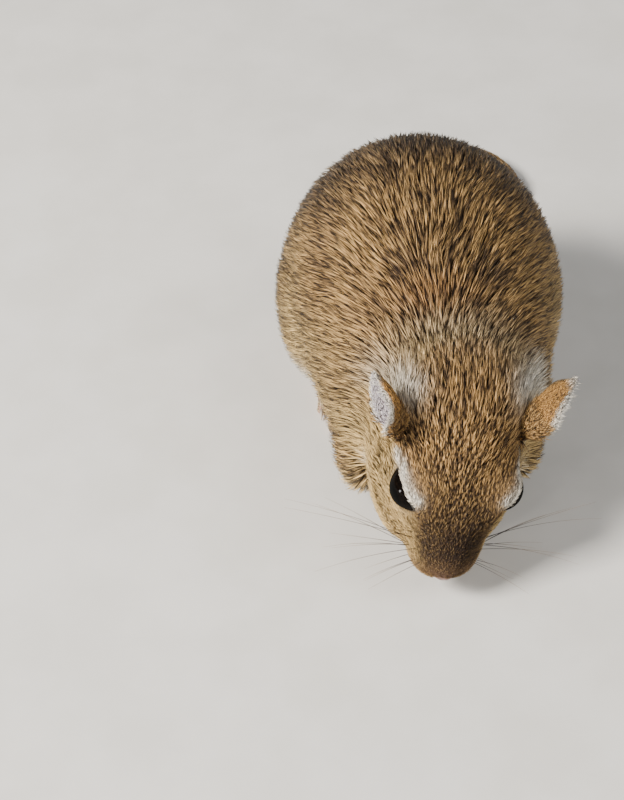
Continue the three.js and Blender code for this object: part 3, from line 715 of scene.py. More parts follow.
def tuft_mesh(name, line, out, half, looks, unwrap):
    """Closed three-sided tufts. line (n, rings + 1, 3) runs from root to tip and out is the way off the body
    at each of its points. Each ring has a corner to either side and a ridge above them, and the tip is a
    point. Every tuft lies on its own patch, PATCH across, at its root's place on the unwrap."""
    count, rings = half.shape
    along = unit(np.gradient(line, axis=1))[:, :rings]
    out = out[:, :rings]
    across = unit(np.cross(along, out))
    ridge = unit(np.cross(across, along))
    wide = half[:, :, None]
    base = line[:, :rings]
    ring = np.stack([base - across * wide, base + across * wide, base + ridge * wide * RIDGE], 2)
    points = np.concatenate([ring.reshape(count, rings * 3, 3), line[:, -1:]], 1)
    points[..., 2] = np.maximum(points[..., 2], FLOOR_CLEAR)
    each = rings * 3 + 1
    faces = [(0, 1, 2)]
    for r in range(rings - 1):
        for a, b in ((1, 2), (2, 0), (0, 1)):
            low_a, low_b, high_a, high_b = r * 3 + a, r * 3 + b, r * 3 + 3 + a, r * 3 + 3 + b
            faces += [(low_a, high_a, high_b), (low_a, high_b, low_b)]
    last = (rings - 1) * 3
    faces += [(last + a, each - 1, last + b) for a, b in ((1, 2), (2, 0), (0, 1))]
    faces = (np.arange(count)[:, None, None] * each + np.array(faces)).reshape(-1, 3)
    mesh = mesh_of(name, points.reshape(-1, 3), faces)

    share = np.append(np.repeat(np.linspace(0, 1, rings + 1)[:rings], 3), 1)
    side = np.append(np.tile([0, 1, 0.5], rings), 0.5)
    strand = np.stack(np.broadcast_arrays(side, share, looks["seed"][:, None]), -1).astype(np.float32)
    mesh.attributes.new("strand", "FLOAT_VECTOR", "POINT").data.foreach_set("vector", strand.ravel())
    for key in ("root", "ground", "tip"):
        paint(mesh, key, np.repeat(looks[key], each, axis=0))
    low, high = unwrap.min(0), unwrap.max(0)
    place = 0.01 + 0.98 * (unwrap - low) / (high - low)
    patch = place[:, None, :] + PATCH * (np.stack([side, share], 1) - 0.5)
    corners = patch.reshape(-1, 2)[faces.ravel()].astype(np.float32)
    mesh.uv_layers.new(name="OFBake").data.foreach_set("uv", corners.ravel())
    return mesh


def lay_over(field, roots, way, long, root_level, tip_level, rings=2):
    """The middle lines of tufts that leave the skin at root_level and bend over to lie along the body, their
    tips at tip_level: steps along the lie, each moved on to its own level of the field."""
    share = np.linspace(0, 1, rings + 1)
    line = roots[:, None, :] + way[:, None, :] * long[:, None, None] * share[:, None]
    level = mix(root_level[:, None], tip_level[:, None], share**0.7)
    flat, level = line.reshape(-1, 3), level.ravel()
    for _ in range(2):
        d, g = field(flat)[:2]
        flat = flat - np.clip(d - level, -3, 3)[:, None] * g
    return flat.reshape(line.shape), g.reshape(line.shape)


def ticked(ground, ticking, rng, dark=None, bright=None):
    """Colours for each tuft: some tipped with black and the rest paler than their ground, darker to the root
    where the coat is ticked more, the dark root partly slate hair and partly painted shade deep in the coat."""
    count = len(ground)
    dark = rng.random(count) < ticking * 0.62 if dark is None else dark
    bright = rng.uniform(0.78, 1.18, count) if bright is None else bright
    tip_dark = SABLE * rng.uniform(0.6, 2.0, (count, 1))
    tip_pale = mix(ground, CREAM, rng.uniform(0, 0.5, (count, 1)) ** 1.5)
    band = mix(ground, SABLE * 2, 0.72 * (dark * np.sqrt(ticking))[:, None]) * bright[:, None]
    tip = np.where(dark[:, None], tip_dark, tip_pale * bright[:, None])
    # The dark root: partly the hair's slate base, partly painted shade deep in the coat.
    root = mix(ground * 0.5, SABLE * 1.2, np.clip(0.25 + ticking, 0, 0.9)[:, None])
    return {"root": root, "ground": band, "tip": tip, "seed": rng.random(count)}


def corners_of(points, triangles):
    """The first, second and third corner of every triangle."""
    return (points[triangles[:, i]] for i in range(3))


def triangle_areas(points, triangles):
    """Half the length of the cross product of two of a triangle's sides."""
    a, b, c = corners_of(points, triangles)
    return length_of(np.cross(b - a, c - a)) / 2


def scattered(points, triangles, density, count, rng):
    """Random places on a mesh's triangles, as thick as density says for each, and their triangles."""
    a, b, c = corners_of(points, triangles)
    weight = triangle_areas(points, triangles) * density
    pick = rng.choice(len(triangles), count, p=weight / weight.sum())
    u, v = rng.random((2, count))
    flip = u + v > 1
    u, v = np.where(flip, 1 - u, u)[:, None], np.where(flip, 1 - v, v)[:, None]
    return a[pick] + u * (b - a)[pick] + v * (c - a)[pick], pick


def thinned(places, apart):
    """Which places to keep so that they stand evenly: the first in each cube of a grid as coarse as `apart`
    there, to the nearest eighth of an octave."""
    octave = np.round(np.log2(apart) * 8)
    cell = np.floor(places / 2 ** (octave / 8)[:, None] + octave[:, None] * 0.37).astype(np.int64)
    key = ((octave.astype(np.int64) * 4096 + cell[:, 0]) * 4096 + cell[:, 1]) * 4096 + cell[:, 2]
    return np.unique(key, return_index=True)[1]


# Materials


BUMP_DEEP = 0.0001  # metres


class Finish:
    """A material's node tree, with short words for adding to it."""

    def __init__(self, name, roughness, specular=0.5):
        self.material = bpy.data.materials.new(name)
        self.material.use_nodes = True
        self.tree = self.material.node_tree
        self.shader = self.tree.nodes["Principled BSDF"]
        self.shader.inputs["Roughness"].default_value = roughness
        self.shader.inputs["Specular IOR Level"].default_value = specular

    def node(self, kind, settings=None, **inputs):
        """A node with its settings, and its inputs linked or set to a value."""
        made = self.tree.nodes.new("ShaderNode" + kind)
        for key, value in (settings or {}).items():
            setattr(made, key, value)
        for key, value in inputs.items():
            entry = made.inputs[key.replace("_", " ")]
            if isinstance(value, bpy.types.NodeSocket):
                self.tree.links.new(value, entry)
            else:
                entry.default_value = value
        return made

    def attribute(self, name):
        """What was painted on the mesh under a name."""
        return self.node("Attribute", {"attribute_name": name})

    def objects(self):
        """Places in metres in the piece's own frame."""
        return self.node("TexCoord").outputs["Object"]

    def noise(self, vector, scale, detail=3.0, roughness=0.55):
        """Soft noise from 0 to 1, `scale` bumps to the metre."""
        made = self.node("TexNoise", Vector=vector, Scale=scale, Detail=detail, Roughness=roughness)
        return made.outputs["Fac"]

    def graded(self, value, low, high, to_low=0.0, to_high=1.0, kind="SMOOTHSTEP"):
        """A value taken from low and high to to_low and to_high, smoothly, and held there past them."""
        settings = {"interpolation_type": kind}
        made = self.node("MapRange", settings, Value=value, To_Min=to_low, To_Max=to_high)
        made.inputs["From Min"].default_value = low
        made.inputs["From Max"].default_value = high
        return made.outputs["Result"]

    def blend(self, share, a, b, kind="MIX"):
        """Two colours mixed, each a link or three numbers."""
        made = self.node("Mix", {"data_type": "RGBA", "blend_type": kind})
        for index, value in ((0, share), (6, a), (7, b)):
            if isinstance(value, bpy.types.NodeSocket):
                self.tree.links.new(value, made.inputs[index])
            elif index:
                made.inputs[index].default_value = (*value, 1)
            else:
                made.inputs[index].default_value = value
        return made.outputs[2]

    def mottled(self, where, scale, a, b, low=0.3, high=0.7):
        """Two colours in soft patches."""
        return self.blend(self.graded(self.noise(where, scale), low, high), colour(*a), colour(*b))

    def done(self, base, height=None, strength=0.3):
        """The material, with its colour and its bumps in place."""
        self.tree.links.new(base, self.shader.inputs["Base Color"])
        if height is not None:
            bump = self.node("Bump", Height=height, Strength=strength, Distance=BUMP_DEEP)
            self.tree.links.new(bump.outputs["Normal"], self.shader.inputs["Normal"])
        return self.material


def hair_finish(name):
    """Each tuft: slate at the root, which is partly painted shade deep in the coat, then its ground colour,
    then its tip, streaked with its single hairs.
    """
    finish = Finish(name, roughness=0.6, specular=0.3)
    strand = finish.node("SeparateXYZ", Vector=finish.attribute("strand").outputs["Vector"]).outputs
    root, ground, tip = (finish.attribute(key).outputs["Color"] for key in ("root", "ground", "tip"))
    base = finish.blend(finish.graded(strand["Y"], 0.26, 0.68), root, ground)
    base = finish.blend(finish.graded(strand["Y"], 0.55, 0.85), base, tip)
    across = finish.graded(strand["X"], 0, 1, 0, 5, "LINEAR")
    apart = finish.graded(strand["Z"], 0, 1, 0, 90, "LINEAR")
    place = finish.node("CombineXYZ", X=across, Y=strand["Y"], Z=apart)
    streak = finish.noise(place.outputs[0], 1.3, detail=2.0)
    shade = finish.node("CombineColor", Red=1.0)
    for channel in ("Red", "Green", "Blue"):
        finish.tree.links.new(finish.graded(streak, 0.3, 0.7, 0.74, 1.16), shade.inputs[channel])
    return finish.done(finish.blend(1.0, base, shade.outputs[0], "MULTIPLY"), streak, strength=0.2)


def skin_finish():
    """The skin under the coat: its ground colour dulled with slate, partly painted shade under the coat,
    mottled and finely creased.
    """
    finish = Finish("skin", roughness=0.72, specular=0.3)
    where = finish.objects()
    mottle = finish.graded(finish.noise(where, 900), 0.3, 0.7, 0.25, 0.6)
    base = finish.blend(mottle, finish.attribute("ground").outputs["Color"], UNDERCOAT * 0.5)
    bare = finish.attribute("bare").outputs["Fac"]
    flesh = finish.mottled(where, 2200, (126, 98, 88), (160, 124, 110))
    return finish.done(finish.blend(bare, base, flesh), finish.noise(where, 3500), strength=0.4)


def foot_finish():
    """Pinkish buff skin, finely creased."""
    finish = Finish("foot skin", roughness=0.6, specular=0.35)
    where = finish.objects()
    base = finish.mottled(where, 700, (196, 150, 124), (214, 178, 150), low=0.35, high=0.65)
    creases = finish.node("TexVoronoi", {"feature": "DISTANCE_TO_EDGE"}, Vector=where, Scale=2600.0)
    return finish.done(base, creases.outputs["Distance"], strength=0.35)


def ear_finish():
    """Lilac grey inside the cup with darker veins, and buff behind."""
    finish = Finish("ear skin", roughness=0.62, specular=0.35)
    where = finish.objects()
    cup = finish.mottled(where, 800, (132, 116, 120), (104, 90, 94), low=0.35)
    back = finish.mottled(where, 1500, (150, 108, 64), (122, 88, 54))
    base = finish.blend(finish.attribute("inner").outputs["Fac"], back, cup)
    return finish.done(base, finish.noise(where, 3000), strength=0.35)


def eye_finish():
    """Near black all over, with a faint brown ring of fibres, under a thin clear film."""
    finish = Finish("eye", roughness=0.4, specular=0.0)
    finish.shader.inputs["Coat Weight"].default_value = 0.1
    finish.shader.inputs["Coat Roughness"].default_value = 0.06
    angle = finish.attribute("angle").outputs["Fac"]
    brown = finish.mottled(finish.objects(), 2500, (6, 4, 3), (14, 9, 6))
    ring = finish.graded(angle, 0.5, 0.75)
    return finish.done(finish.blend(ring, colour(3, 3, 3), brown))


def lid_finish():
    """Black at the rim, fading into the pale skin round it."""
    finish = Finish("eyelid", roughness=0.45, specular=0.4)
    away = finish.attribute("away").outputs["Fac"]
    mottle = finish.noise(finish.objects(), 3000)
    pale = finish.blend(finish.graded(mottle, 0.3, 0.7), colour(120, 104, 92), colour(172, 156, 138))
    base = finish.blend(finish.graded(away, 0.3, 0.75), colour(14, 10, 9), pale)
    return finish.done(base, mottle, strength=0.3)


def nose_finish():
    """Pinkish brown skin with fine pebbles."""
    finish = Finish("nose skin", roughness=0.42, specular=0.5)
    where = finish.objects()
    base = finish.mottled(where, 1400, (128, 98, 92), (166, 130, 120))
    pebbles = finish.node("TexVoronoi", {"feature": "F1"}, Vector=where, Scale=5200.0)
    return finish.done(base, pebbles.outputs["Distance"], strength=0.35)


def horn_finish():
    """Claws: grey-brown horn, paler and clearer to the tip."""
    finish = Finish("claw horn", roughness=0.35, specular=0.5)
    along = finish.attribute("along").outputs["Fac"]
    base = finish.blend(finish.graded(along, 0.1, 1.0), colour(96, 78, 66), colour(196, 180, 160))
    return finish.done(base, finish.noise(finish.objects(), 4000), strength=0.15)


def whisker_finish():
    """Dark brown at the root and straw at the tip."""
    finish = Finish("whisker", roughness=0.4, specular=0.5)
    along = finish.attribute("along").outputs["Fac"]
    base = finish.blend(finish.graded(along, 0.15, 0.9), colour(40, 27, 18), colour(150, 120, 88))
    return finish.done(base, finish.noise(finish.objects(), 3000), strength=0.1)


def floor_finish():
    """Plain pale paint."""
    finish = Finish("floor", roughness=0.85, specular=0.25)
    base = finish.mottled(finish.objects(), 60, (206, 201, 192), (214, 209, 201))
    return finish.done(base, finish.noise(finish.objects(), 900), strength=0.05)


EAR_FINISH = ear_finish()
EYE_FINISH = eye_finish()
LID_FINISH = lid_finish()
FOOT_FINISH = foot_finish()
HORN_FINISH = horn_finish()


# The skin

# Sides in mm of the cells that the skin, the feet and the nose pad are meshed in
SKIN_STEP = 0.45
FOOT_STEP = 0.21
NOSE_STEP = 0.1


def finer(mesh, chosen):
    """Halves the edges of the chosen faces."""
    work = bmesh.new()
    work.from_mesh(mesh)
    work.faces.ensure_lookup_table()
    edges = {e for i in np.flatnonzero(chosen) for e in work.faces[i].edges}
    bmesh.ops.subdivide_edges(work, edges=list(edges), cuts=1, use_grid_fill=True)
    work.to_mesh(mesh)
    work.free()


def vertices_of(mesh):
    """A mesh's vertices in mm in the animal's frame."""
    points = np.empty(len(mesh.vertices) * 3, np.float32)
    mesh.vertices.foreach_get("co", points)
    return points.reshape(-1, 3) / MM - SHIFT


def move_vertices(mesh, points):
    """Puts a mesh's vertices at new places, none below the floor."""
    points[:, 2] = np.maximum(points[:, 2], FLOOR_CLEAR)
    mesh.vertices.foreach_set("co", ((points + SHIFT) * MM).astype(np.float32).ravel())
    mesh.update()


def face_centres(mesh):
    """The middles of a mesh's faces, likewise."""
    centres = np.empty(len(mesh.polygons) * 3, np.float32)
    mesh.polygons.foreach_get("center", centres)
    return centres.reshape(-1, 3) / MM - SHIFT


def make_skin():
    """One skin over the trunk, head, forearms and tail, finer over the face and finest round the mouth."""

    def field(p):
        return skin_field(p, LIMBS)

    values, low = filled_grid(field, (-28, -54, -2), (28, 69, 50), SKIN_STEP)
    points, quads = surface_of(values, low, SKIN_STEP)
    points = settle(field, points)
    mesh = mesh_of("skin", points, quads)
    for reach in (17, 6.5):
        x, y, z = to_head(face_centres(mesh)).T
        finer(mesh, (y < reach) & (np.abs(x) < 13) & (z > -10) & (y > -3))
    fine = settle(field, vertices_of(mesh), rounds=2, most=0.2)
    move_vertices(mesh, fine)
    _, g, head = coat_field(fine)
    ground, _ = markings(fine, unit(g), head)
    own = to_head(fine)
    bare = np.exp(-(length_of((own - NOSE.at) / (NOSE.radii + 0.5)) ** 4) * 0.6)
    bare = np.maximum(bare, np.exp(-((mouth_line(own) - 0.6) / 0.25) ** 2) * head * (own[:, 1] < 11))
    # The skin takes the coat's ground darkened: partly the slate undercoat, partly painted shade under the
    # coat.
    paint(mesh, "ground", ground * 0.65)
    paint(mesh, "bare", bare)
    nodes = ["torso", "neck", "head", "jaw", "haunch_left", "haunch_right", "foreleg_left", "foreleg_right"]
    piece(mesh, skin_finish(), "body_fur", nodes + ["tail_root", "tail_bend", "tail_end"])
    return points, halved(quads)


# The coat

HEAD_COATS = {"coat_crown", "coat_cheek_left", "coat_cheek_right", "coat_face"}
LOCK = 2  # tufts in a lock
LOCK_CELL = 1.25  # cube that holds one lock's root, against the locks' spacing
GUARD_SHARE = 0.05  # of the trunk's locks, those of long guard hair
UNDER_SHARE = 0.28  # short dark tufts low in the coat, partly painted shade, as a share of the others


def regions(p, out, head):
    """The name of the coat piece for each tuft, by its root's place."""
    own = to_head(p)
    up = (out @ HEAD_AXES)[:, 2]
    name = np.full(len(p), "coat_back", object)
    name[p[:, 1] > 4] = "coat_rump"
    name[p[:, 1] < -13] = "coat_shoulders"
    side = out[:, 2] < 0.45
    name[side & (p[:, 0] > 0)] = "coat_flank_left"
    name[side & (p[:, 0] <= 0)] = "coat_flank_right"
    name[side & (p[:, 1] > 16)] = "coat_hind"
    name[out[:, 2] < -0.35] = "coat_belly"
    on_head = head > 0.5
    name[on_head & (up > 0)] = "coat_crown"
    name[on_head & (up <= 0) & (own[:, 0] > 0)] = "coat_cheek_left"
    name[on_head & (up <= 0) & (own[:, 0] <= 0)] = "coat_cheek_right"
    name[on_head & (own[:, 1] < 13)] = "coat_face"
    return name


def unwrapped(p, head):
    """The skin's own unwrap: the turn about the length of the body or head, and how far along it lies."""
    own = to_head(p)
    body = np.stack([np.arctan2(p[:, 0], p[:, 2] - 18) / (2 * np.pi), p[:, 1] / 80], 1)
    snout = np.stack([np.arctan2(own[:, 0], own[:, 2] + 2) / (2 * np.pi), own[:, 1] / 40], 1)
    return mix(body, snout, (head > 0.5).astype(float)[:, None])


def rooted(own, head):
    """Which roots stand clear of the eyes, the ears, the nose and the lips."""
    keep = outside_mass(Named(at=NOSE.at, axes=np.eye(3), radii=NOSE.radii), own)[0] > 0.15
    keep &= (mouth_line(own) * head < 0.3) | (own[:, 1] > 12)
    for side in (1, -1):
        keep &= (eye_margin(own, side)[0] > 4.5) | (socket(own, side) > 3)
        keep &= socket(own, side) > 0
        foot = own - mirrored(EAR.at, side)
        way = mirrored(EAR_LONG, side)
        keep &= length_of(foot - (foot @ way)[:, None] * way) > 1.0
    return keep


def lock_roots(points, triangles, rng):
    """Where the locks stand: random places all over the skin, thinned to an even spacing. Also how thickly
    each of its triangles is rooted, 1 / spacing^2 and none where the skin lies far from the coat's form."""
    centre = points[triangles].mean(1)
    d, g, head = coat_field(centre)
    density = hair_size(centre, unit(g), head)[2] ** -2.0
    density[np.abs(d + coat_depth(centre, head)) > 0.7] = 0
    tries = int((triangle_areas(points, triangles) * density).sum() * 5)
    roots = scattered(points, triangles, density, tries, rng)[0]
    _, g, head = coat_field(roots)
    return roots[thinned(roots, LOCK_CELL * hair_size(roots, unit(g), head)[2])], density


def lock_hair(roots, rng):
    """The locks' tufts, LOCK to each, whose tips draw together: all of a lock dark-tipped or all pale, and a
    few locks of longer guard hair."""
    locks = len(roots)
    _, g, head = coat_field(roots)
    out = unit(g)
    long, wide, apart = hair_size(roots, out, head)
    guard = rng.random(locks) < GUARD_SHARE * (1 - 0.7 * head)
    long = long * np.exp(rng.normal(0, 0.12, locks)) * np.where(guard, 1.25, 1)
    way = lie(roots, out, head)
    across = np.cross(out, way)
    way = unit(way + across * rng.normal(0, mix(0.1, 0.14, head))[:, None])
    ground, ticking = markings(roots, out, head)
    dark = rng.random(locks) < np.where(guard, 0.9, ticking * 0.68)
    bright = np.exp(rng.normal(0, 0.16, locks))
    sunk = rng.uniform(0, 0.5, locks) + 0.08 * dark
    tip = -coat_depth(roots, head) * sunk + np.where(guard, 0.3, 0.05)

    def each(values):
        """A lock's value for each of its tufts."""
        return np.repeat(values, LOCK, axis=0)

    count = locks * LOCK
    aside = np.clip(rng.normal(0, 1, (2, count)), -1.8, 1.8) * each(apart) * 0.34
    return {
        "roots": each(roots) + each(across) * aside[0][:, None] + each(way) * (1.4 * aside[1])[:, None],
        "way": each(way) - each(across) * (aside[0] * 0.7 / each(long))[:, None],
        "long": each(long) * rng.uniform(0.75, 1.05, count),
        "wide": each(wide),
        "tip": each(tip) - rng.uniform(0, 0.25, count) * each(mix(1, 0.2, head)),
        "ground": each(ground),
        "ticking": each(ticking),
        "dark": each(dark) ^ (rng.random(count) < 0.08),
        "bright": each(bright) * rng.uniform(0.88, 1.12, count),
    }


def shaded_under_hair(roots, rng):
    """Short, broad, dark tufts that end half-way up the coat: partly the slate undercoat, partly painted
    shade deep in the coat.
    """
    count = len(roots)
    _, g, head = coat_field(roots)
    out = unit(g)
    long, wide, _ = hair_size(roots, out, head)
    ground, ticking = markings(roots, out, head)
    return {
        "roots": roots,
        "way": lie(roots, out, head),
        "long": long * 0.75,
        "wide": wide * 1.3,
        "tip": -coat_depth(roots, head) * rng.uniform(0.5, 0.8, count),
        "ground": ground * 0.8,
        "ticking": np.clip(1.3 * ticking, 0, 1),
        "dark": rng.random(count) < 0.25 + 0.8 * ticking,
        "bright": np.full(count, 0.75),
    }


def make_coat(points, triangles):
    """The coat of the trunk and head, rooted all over the skin: locks, short dark hair between them that
    partly paints the shade deep in the coat, and shorter towards the eyes."""
    rng = np.random.default_rng(21)
    roots, density = lock_roots(points, triangles, rng)
    many = lock_hair(roots, rng)
    low = int(len(many["roots"]) * UNDER_SHARE)
    under = shaded_under_hair(scattered(points, triangles, density, low, rng)[0], rng)
    hair = Named(**{key: np.concatenate([many[key], under[key]]) for key in many})
    head = coat_field(hair.roots)[2]
    keep = rooted(to_head(hair.roots), head)
    hair = Named(**{key: value[keep] for key, value in vars(hair).items()})
    head = head[keep]
    own = to_head(hair.roots)
    for side in (1, -1):
        gap = np.maximum(socket(own, side), 0)
        hair.long = np.minimum(hair.long, 0.55 + 1.1 * gap)
    root_level = -coat_depth(hair.roots, head) - 0.15
    line, ridge = lay_over(coat_field, hair.roots, unit(hair.way), hair.long, root_level, hair.tip)
    looks = ticked(hair.ground, hair.ticking, rng, hair.dark, hair.bright)
    from_eye = np.minimum(socket(own, 1), socket(own, -1))
    # The dark roots, partly painted shade deep in the coat, are kept only where the coat is deep, away from
    # the eyes and the snout.
    deep = smooth(from_eye, 0.8, 3.0) * smooth(own[:, 1], 5, 14)
    looks["root"] = mix(looks["ground"] * 0.8, looks["root"], deep[:, None])
    half = (hair.wide * rng.uniform(0.8, 1.2, len(head)) / 2)[:, None] * np.array([0.8, 1.0])
    where = unwrapped(hair.roots, head)
    finish = hair_finish("coat")
    name = regions(hair.roots, ridge[:, 0], head)
    for each_name in sorted(set(name)):
        mine = name == each_name
        picked = {key: value[mine] for key, value in looks.items()}
        mesh = tuft_mesh(each_name, line[mine], ridge[mine], half[mine], picked, where[mine])
        piece(mesh, finish, "head_fur" if each_name in HEAD_COATS else "body_fur")
    return finish


# Ears

# The left ear's ways in the head's frame: along it, out of its cup's mouth, and from rim to rim
EAR_LONG = unit(np.array([0.442, 0.771, 0.458]))
EAR_MOUTH = along_surface(np.array([[0.875, -0.483, -0.03]]), EAR_LONG)[0]
EAR_WIDTH = np.cross(EAR_MOUTH, EAR_LONG)


def ear_leaf(share, v, depth):
    """A leaf rolled into a cup at its foot: share runs from foot to tip, v from -1 to 1 round the cup from
    rim to rim, and depth out of the cup's back."""
    reach = mix(-EAR.sunk, EAR.length, share)
    full = mix(0.7, 1, np.sin(np.pi * np.minimum(share * 1.1, 1))) * mix(0.35, 1, smooth(share, 0, 0.24))
    half = EAR.width / 2 * full * np.sqrt(np.maximum(1 - smooth(share, 0.5, 1.02) ** 2, 0.015))
    roll = np.radians(mix(120, 38, smooth(share, 0.1, 0.8)))
    radius = half / roll
    turn = roll * v
    out = (radius + depth) * (1 - np.cos(turn)) - depth - half * 0.35
    across = (radius + depth) * np.sin(turn)
    return EAR.at + EAR_LONG * reach[..., None] + EAR_MOUTH * out[..., None] + EAR_WIDTH * across[..., None]


def ear_half_thickness(share, v):
    """Thick at the foot and thin to the rims and the tip."""
    return EAR.thickness / 2 * mix(1.4, 0.75, share) * (1 - 0.65 * np.abs(v) ** 5)


def to_side(own, side):
    """Points of the left ear or eye, in the head's frame, taken to one side and into the animal's frame."""
    return from_head(mirrored(own, side))


def lattice(rows, columns):
    """Quads between rows of points, each row a closed ring."""
    r, c = np.meshgrid(np.arange(rows - 1), np.arange(columns), indexing="ij")
    low, high = r * columns, (r + 1) * columns
    after = (c + 1) % columns
    return np.stack([low + c, low + after, high + after, high + c], -1).reshape(-1, 4)


def capped(points, rows, columns):
    """Triangles of a form of closed rings with a point added at the middle of each end ring."""
    ends = np.stack([points[:columns].mean(0), points[-columns:].mean(0)])
    c = np.arange(columns)
    after = (c + 1) % columns
    top = (rows - 1) * columns
    first = np.stack([np.full(columns, len(points)), after, c], 1)
    last = np.stack([np.full(columns, len(points) + 1), top + c, top + after], 1)
    return np.vstack([points, ends]), np.vstack([halved(lattice(rows, columns)), first, last])


def facing_out(points, triangles):
    """The triangles turned round if the form they close holds less than nothing."""
    a, b, c = corners_of(points, triangles)
    return triangles if (a * np.cross(b, c)).sum() > 0 else triangles[:, ::-1]


def ear_back_hue(s, v):
    """Orange in the middle of the ear's back, olive grey to its rear edge, partly as painted shade on the
    ear's back, pale along the rims and the tip, and as the crown at its foot."""
    rim = np.maximum(smooth(np.abs(v), 0.78, 0.97), smooth(s, 0.84, 0.97))
    orange = mix(AMBER, colour(206, 148, 72), 0.65 * smooth(s, 0.2, 0.5)[:, None])
    # Olive grey to the rear edge: partly the ear's own colour, partly painted shade on the back of the ear.
    olive = mix(orange, colour(120, 98, 66), (smooth(-v, 0.1, 0.7) * smooth(s, 0.3, 0.6))[:, None])
    return mix(olive, PALE, rim[:, None] * 0.9)


def cup_hue(s, v):
    """Lilac white, greyer brown in the hollow under the tip."""
    hollow = np.exp(-(((s - 0.7) / 0.2) ** 2) - (v / 0.6) ** 2)
    return mix(LILAC, colour(108, 94, 88), 0.85 * hollow[:, None])


def plain_hue(hue):
    """One colour wherever it is asked for."""
    return lambda s, v: np.tile(hue, (len(s), 1))


def ear_hair(count, chosen, long, wide, lift, spread, hue, ticking, foot=1.0):
    """One kind of the ear's hair: how many tufts, where (share, v and whether in the cup), their length and
    width, how far they rise and fan out, their colour, and how much longer they are at the ear's foot."""
    return Named(count=count, chosen=chosen, long=long, wide=wide, lift=lift, spread=spread, hue=hue,
                 ticking=ticking, foot=foot)


LILAC = colour(206, 198, 202)
WHITE = plain_hue(PALE)
BUFF = plain_hue(AMBER)
MOUSE = plain_hue(colour(190, 182, 176))
EAR_HAIR = [  # the back, the rims, the fringe on the front rim, the cup's short and long hair, and the foot's
    ear_hair(3600, lambda s, v, cup: ~cup, 1.0, 0.14, 0.14, 0.3, ear_back_hue, 0.55, 1.9),
    ear_hair(1300, lambda s, v, cup: (np.abs(v) > 0.85) & (s > 0.2), 0.7, 0.1, 0.15, 0.4, WHITE, 0.0),
    ear_hair(190, lambda s, v, cup: (v > 0.9) & (s > 0.16), 1.5, 0.07, 0.12, 1.3, WHITE, 0.0),
    ear_hair(3100, lambda s, v, cup: cup & (s > 0.1), 0.9, 0.1, 0.3, 0.1, cup_hue, 0.2),
    ear_hair(520, lambda s, v, cup: cup & (s < 0.55) & (v > 0.35), 1.5, 0.1, 0.4, 0.4, MOUSE, 0.15),
    ear_hair(900, lambda s, v, cup: ~cup & (s < 0.42), 1.5, 0.16, 0.28, 0.15, BUFF, 0.6, 1.5),
]
EAR_PATCHES = 1.2  # from one kind's place on the unwrap to the next


def make_ear(hand, side, fur):
    """The leaf of the ear, and its hair: tufts that lie from foot to tip and fan out to the rims."""
    rows, columns = 44, 34
    share = np.linspace(0, 1, rows)[:, None].repeat(2 * columns, 1)
    v = np.append(np.linspace(-1, 1, columns), np.linspace(1, -1, columns))[None, :].repeat(rows, 0)
    back = np.repeat([1.0, -1.0], columns)[None, :].repeat(rows, 0)
    leaf = ear_leaf(share, v, back * ear_half_thickness(share, v)).reshape(-1, 3)
    points, triangles = capped(to_side(leaf, side), rows, 2 * columns)
    triangles = facing_out(points, triangles)
    mesh = mesh_of("ear_skin_" + hand, points, triangles)
    inner = np.where(back < 0, 1, smooth(np.abs(v), 0.86, 0.94))
    paint(mesh, "inner", np.append(inner, [0, 0]))
    piece(mesh, EAR_FINISH, "ear_skin", ["ear_" + hand])

    def on_leaf(s, v):
        return to_side(ear_leaf(s, v, 0 * s), side)

    rng = np.random.default_rng(31)
    corner = np.stack([np.append(share, [0, 1]), np.append(v, [0, 0]), np.append(back, [1, 1])], 1)
    lines, offs, halves, looks, places = [], [], [], [], []
    for order, kind in enumerate(EAR_HAIR):
        s, v, face = corner[triangles].mean(1).T
        chosen = np.flatnonzero(kind.chosen(s, v, face < 0))
        root, pick = scattered(points, triangles[chosen], 1.0, kind.count, rng)
        pick = chosen[pick]
        s, v = s[pick], v[pick]
        a, b, c = corners_of(points, triangles[pick])
        off = unit(np.cross(b - a, c - a))
        forward = unit(on_leaf(s + 0.01, v) - on_leaf(s, v))
        sideways = unit(on_leaf(s, v + 0.01) - on_leaf(s, v))
        way = forward + sideways * (kind.spread * v + rng.normal(0, 0.22, kind.count))[:, None]
        way = along_surface(way, off)
        size = kind.long * rng.uniform(0.7, 1.25, kind.count) * mix(kind.foot, 1, smooth(s, 0, 0.6))
        t = np.linspace(0, 1, 3)[None, :, None]
        rise = way[:, None] * t + off[:, None] * (kind.lift * t - 0.04)
        lines.append(root[:, None] + rise * size[:, None, None])
        offs.append(off[:, None].repeat(3, 1))
        wide = kind.wide * rng.uniform(0.75, 1.25, kind.count) * mix(1.3, 1, smooth(s, 0, 0.4))
        halves.append(wide[:, None] / 2 * np.array([0.8, 1.0]))
        looks.append(ticked(kind.hue(s, v), np.full(kind.count, kind.ticking), rng))
        places.append(np.stack([(v + 1) / 2 + order * EAR_PATCHES, s], 1))
    looks = {key: np.concatenate([look[key] for look in looks]) for key in looks[0]}
    lines, offs, halves, places = (np.vstack(part) for part in (lines, offs, halves, places))
    piece(tuft_mesh("ear_coat_" + hand, lines, offs, halves, looks, places), fur, "head_fur")


# Eyes, lids and nose


def round_the_eye(angle, turn, radius, side):
    """Points at an angle from the way the eye faces and a turn about it, at a radius from its middle."""
    facing, back, over = EYE_AXES
    ring = back * np.cos(turn)[..., None] + over * np.sin(turn)[..., None]
    way = facing * np.cos(angle)[..., None] + ring * np.sin(angle)[..., None]
    return to_side(EYE.at + way * np.asarray(radius)[..., None], side)


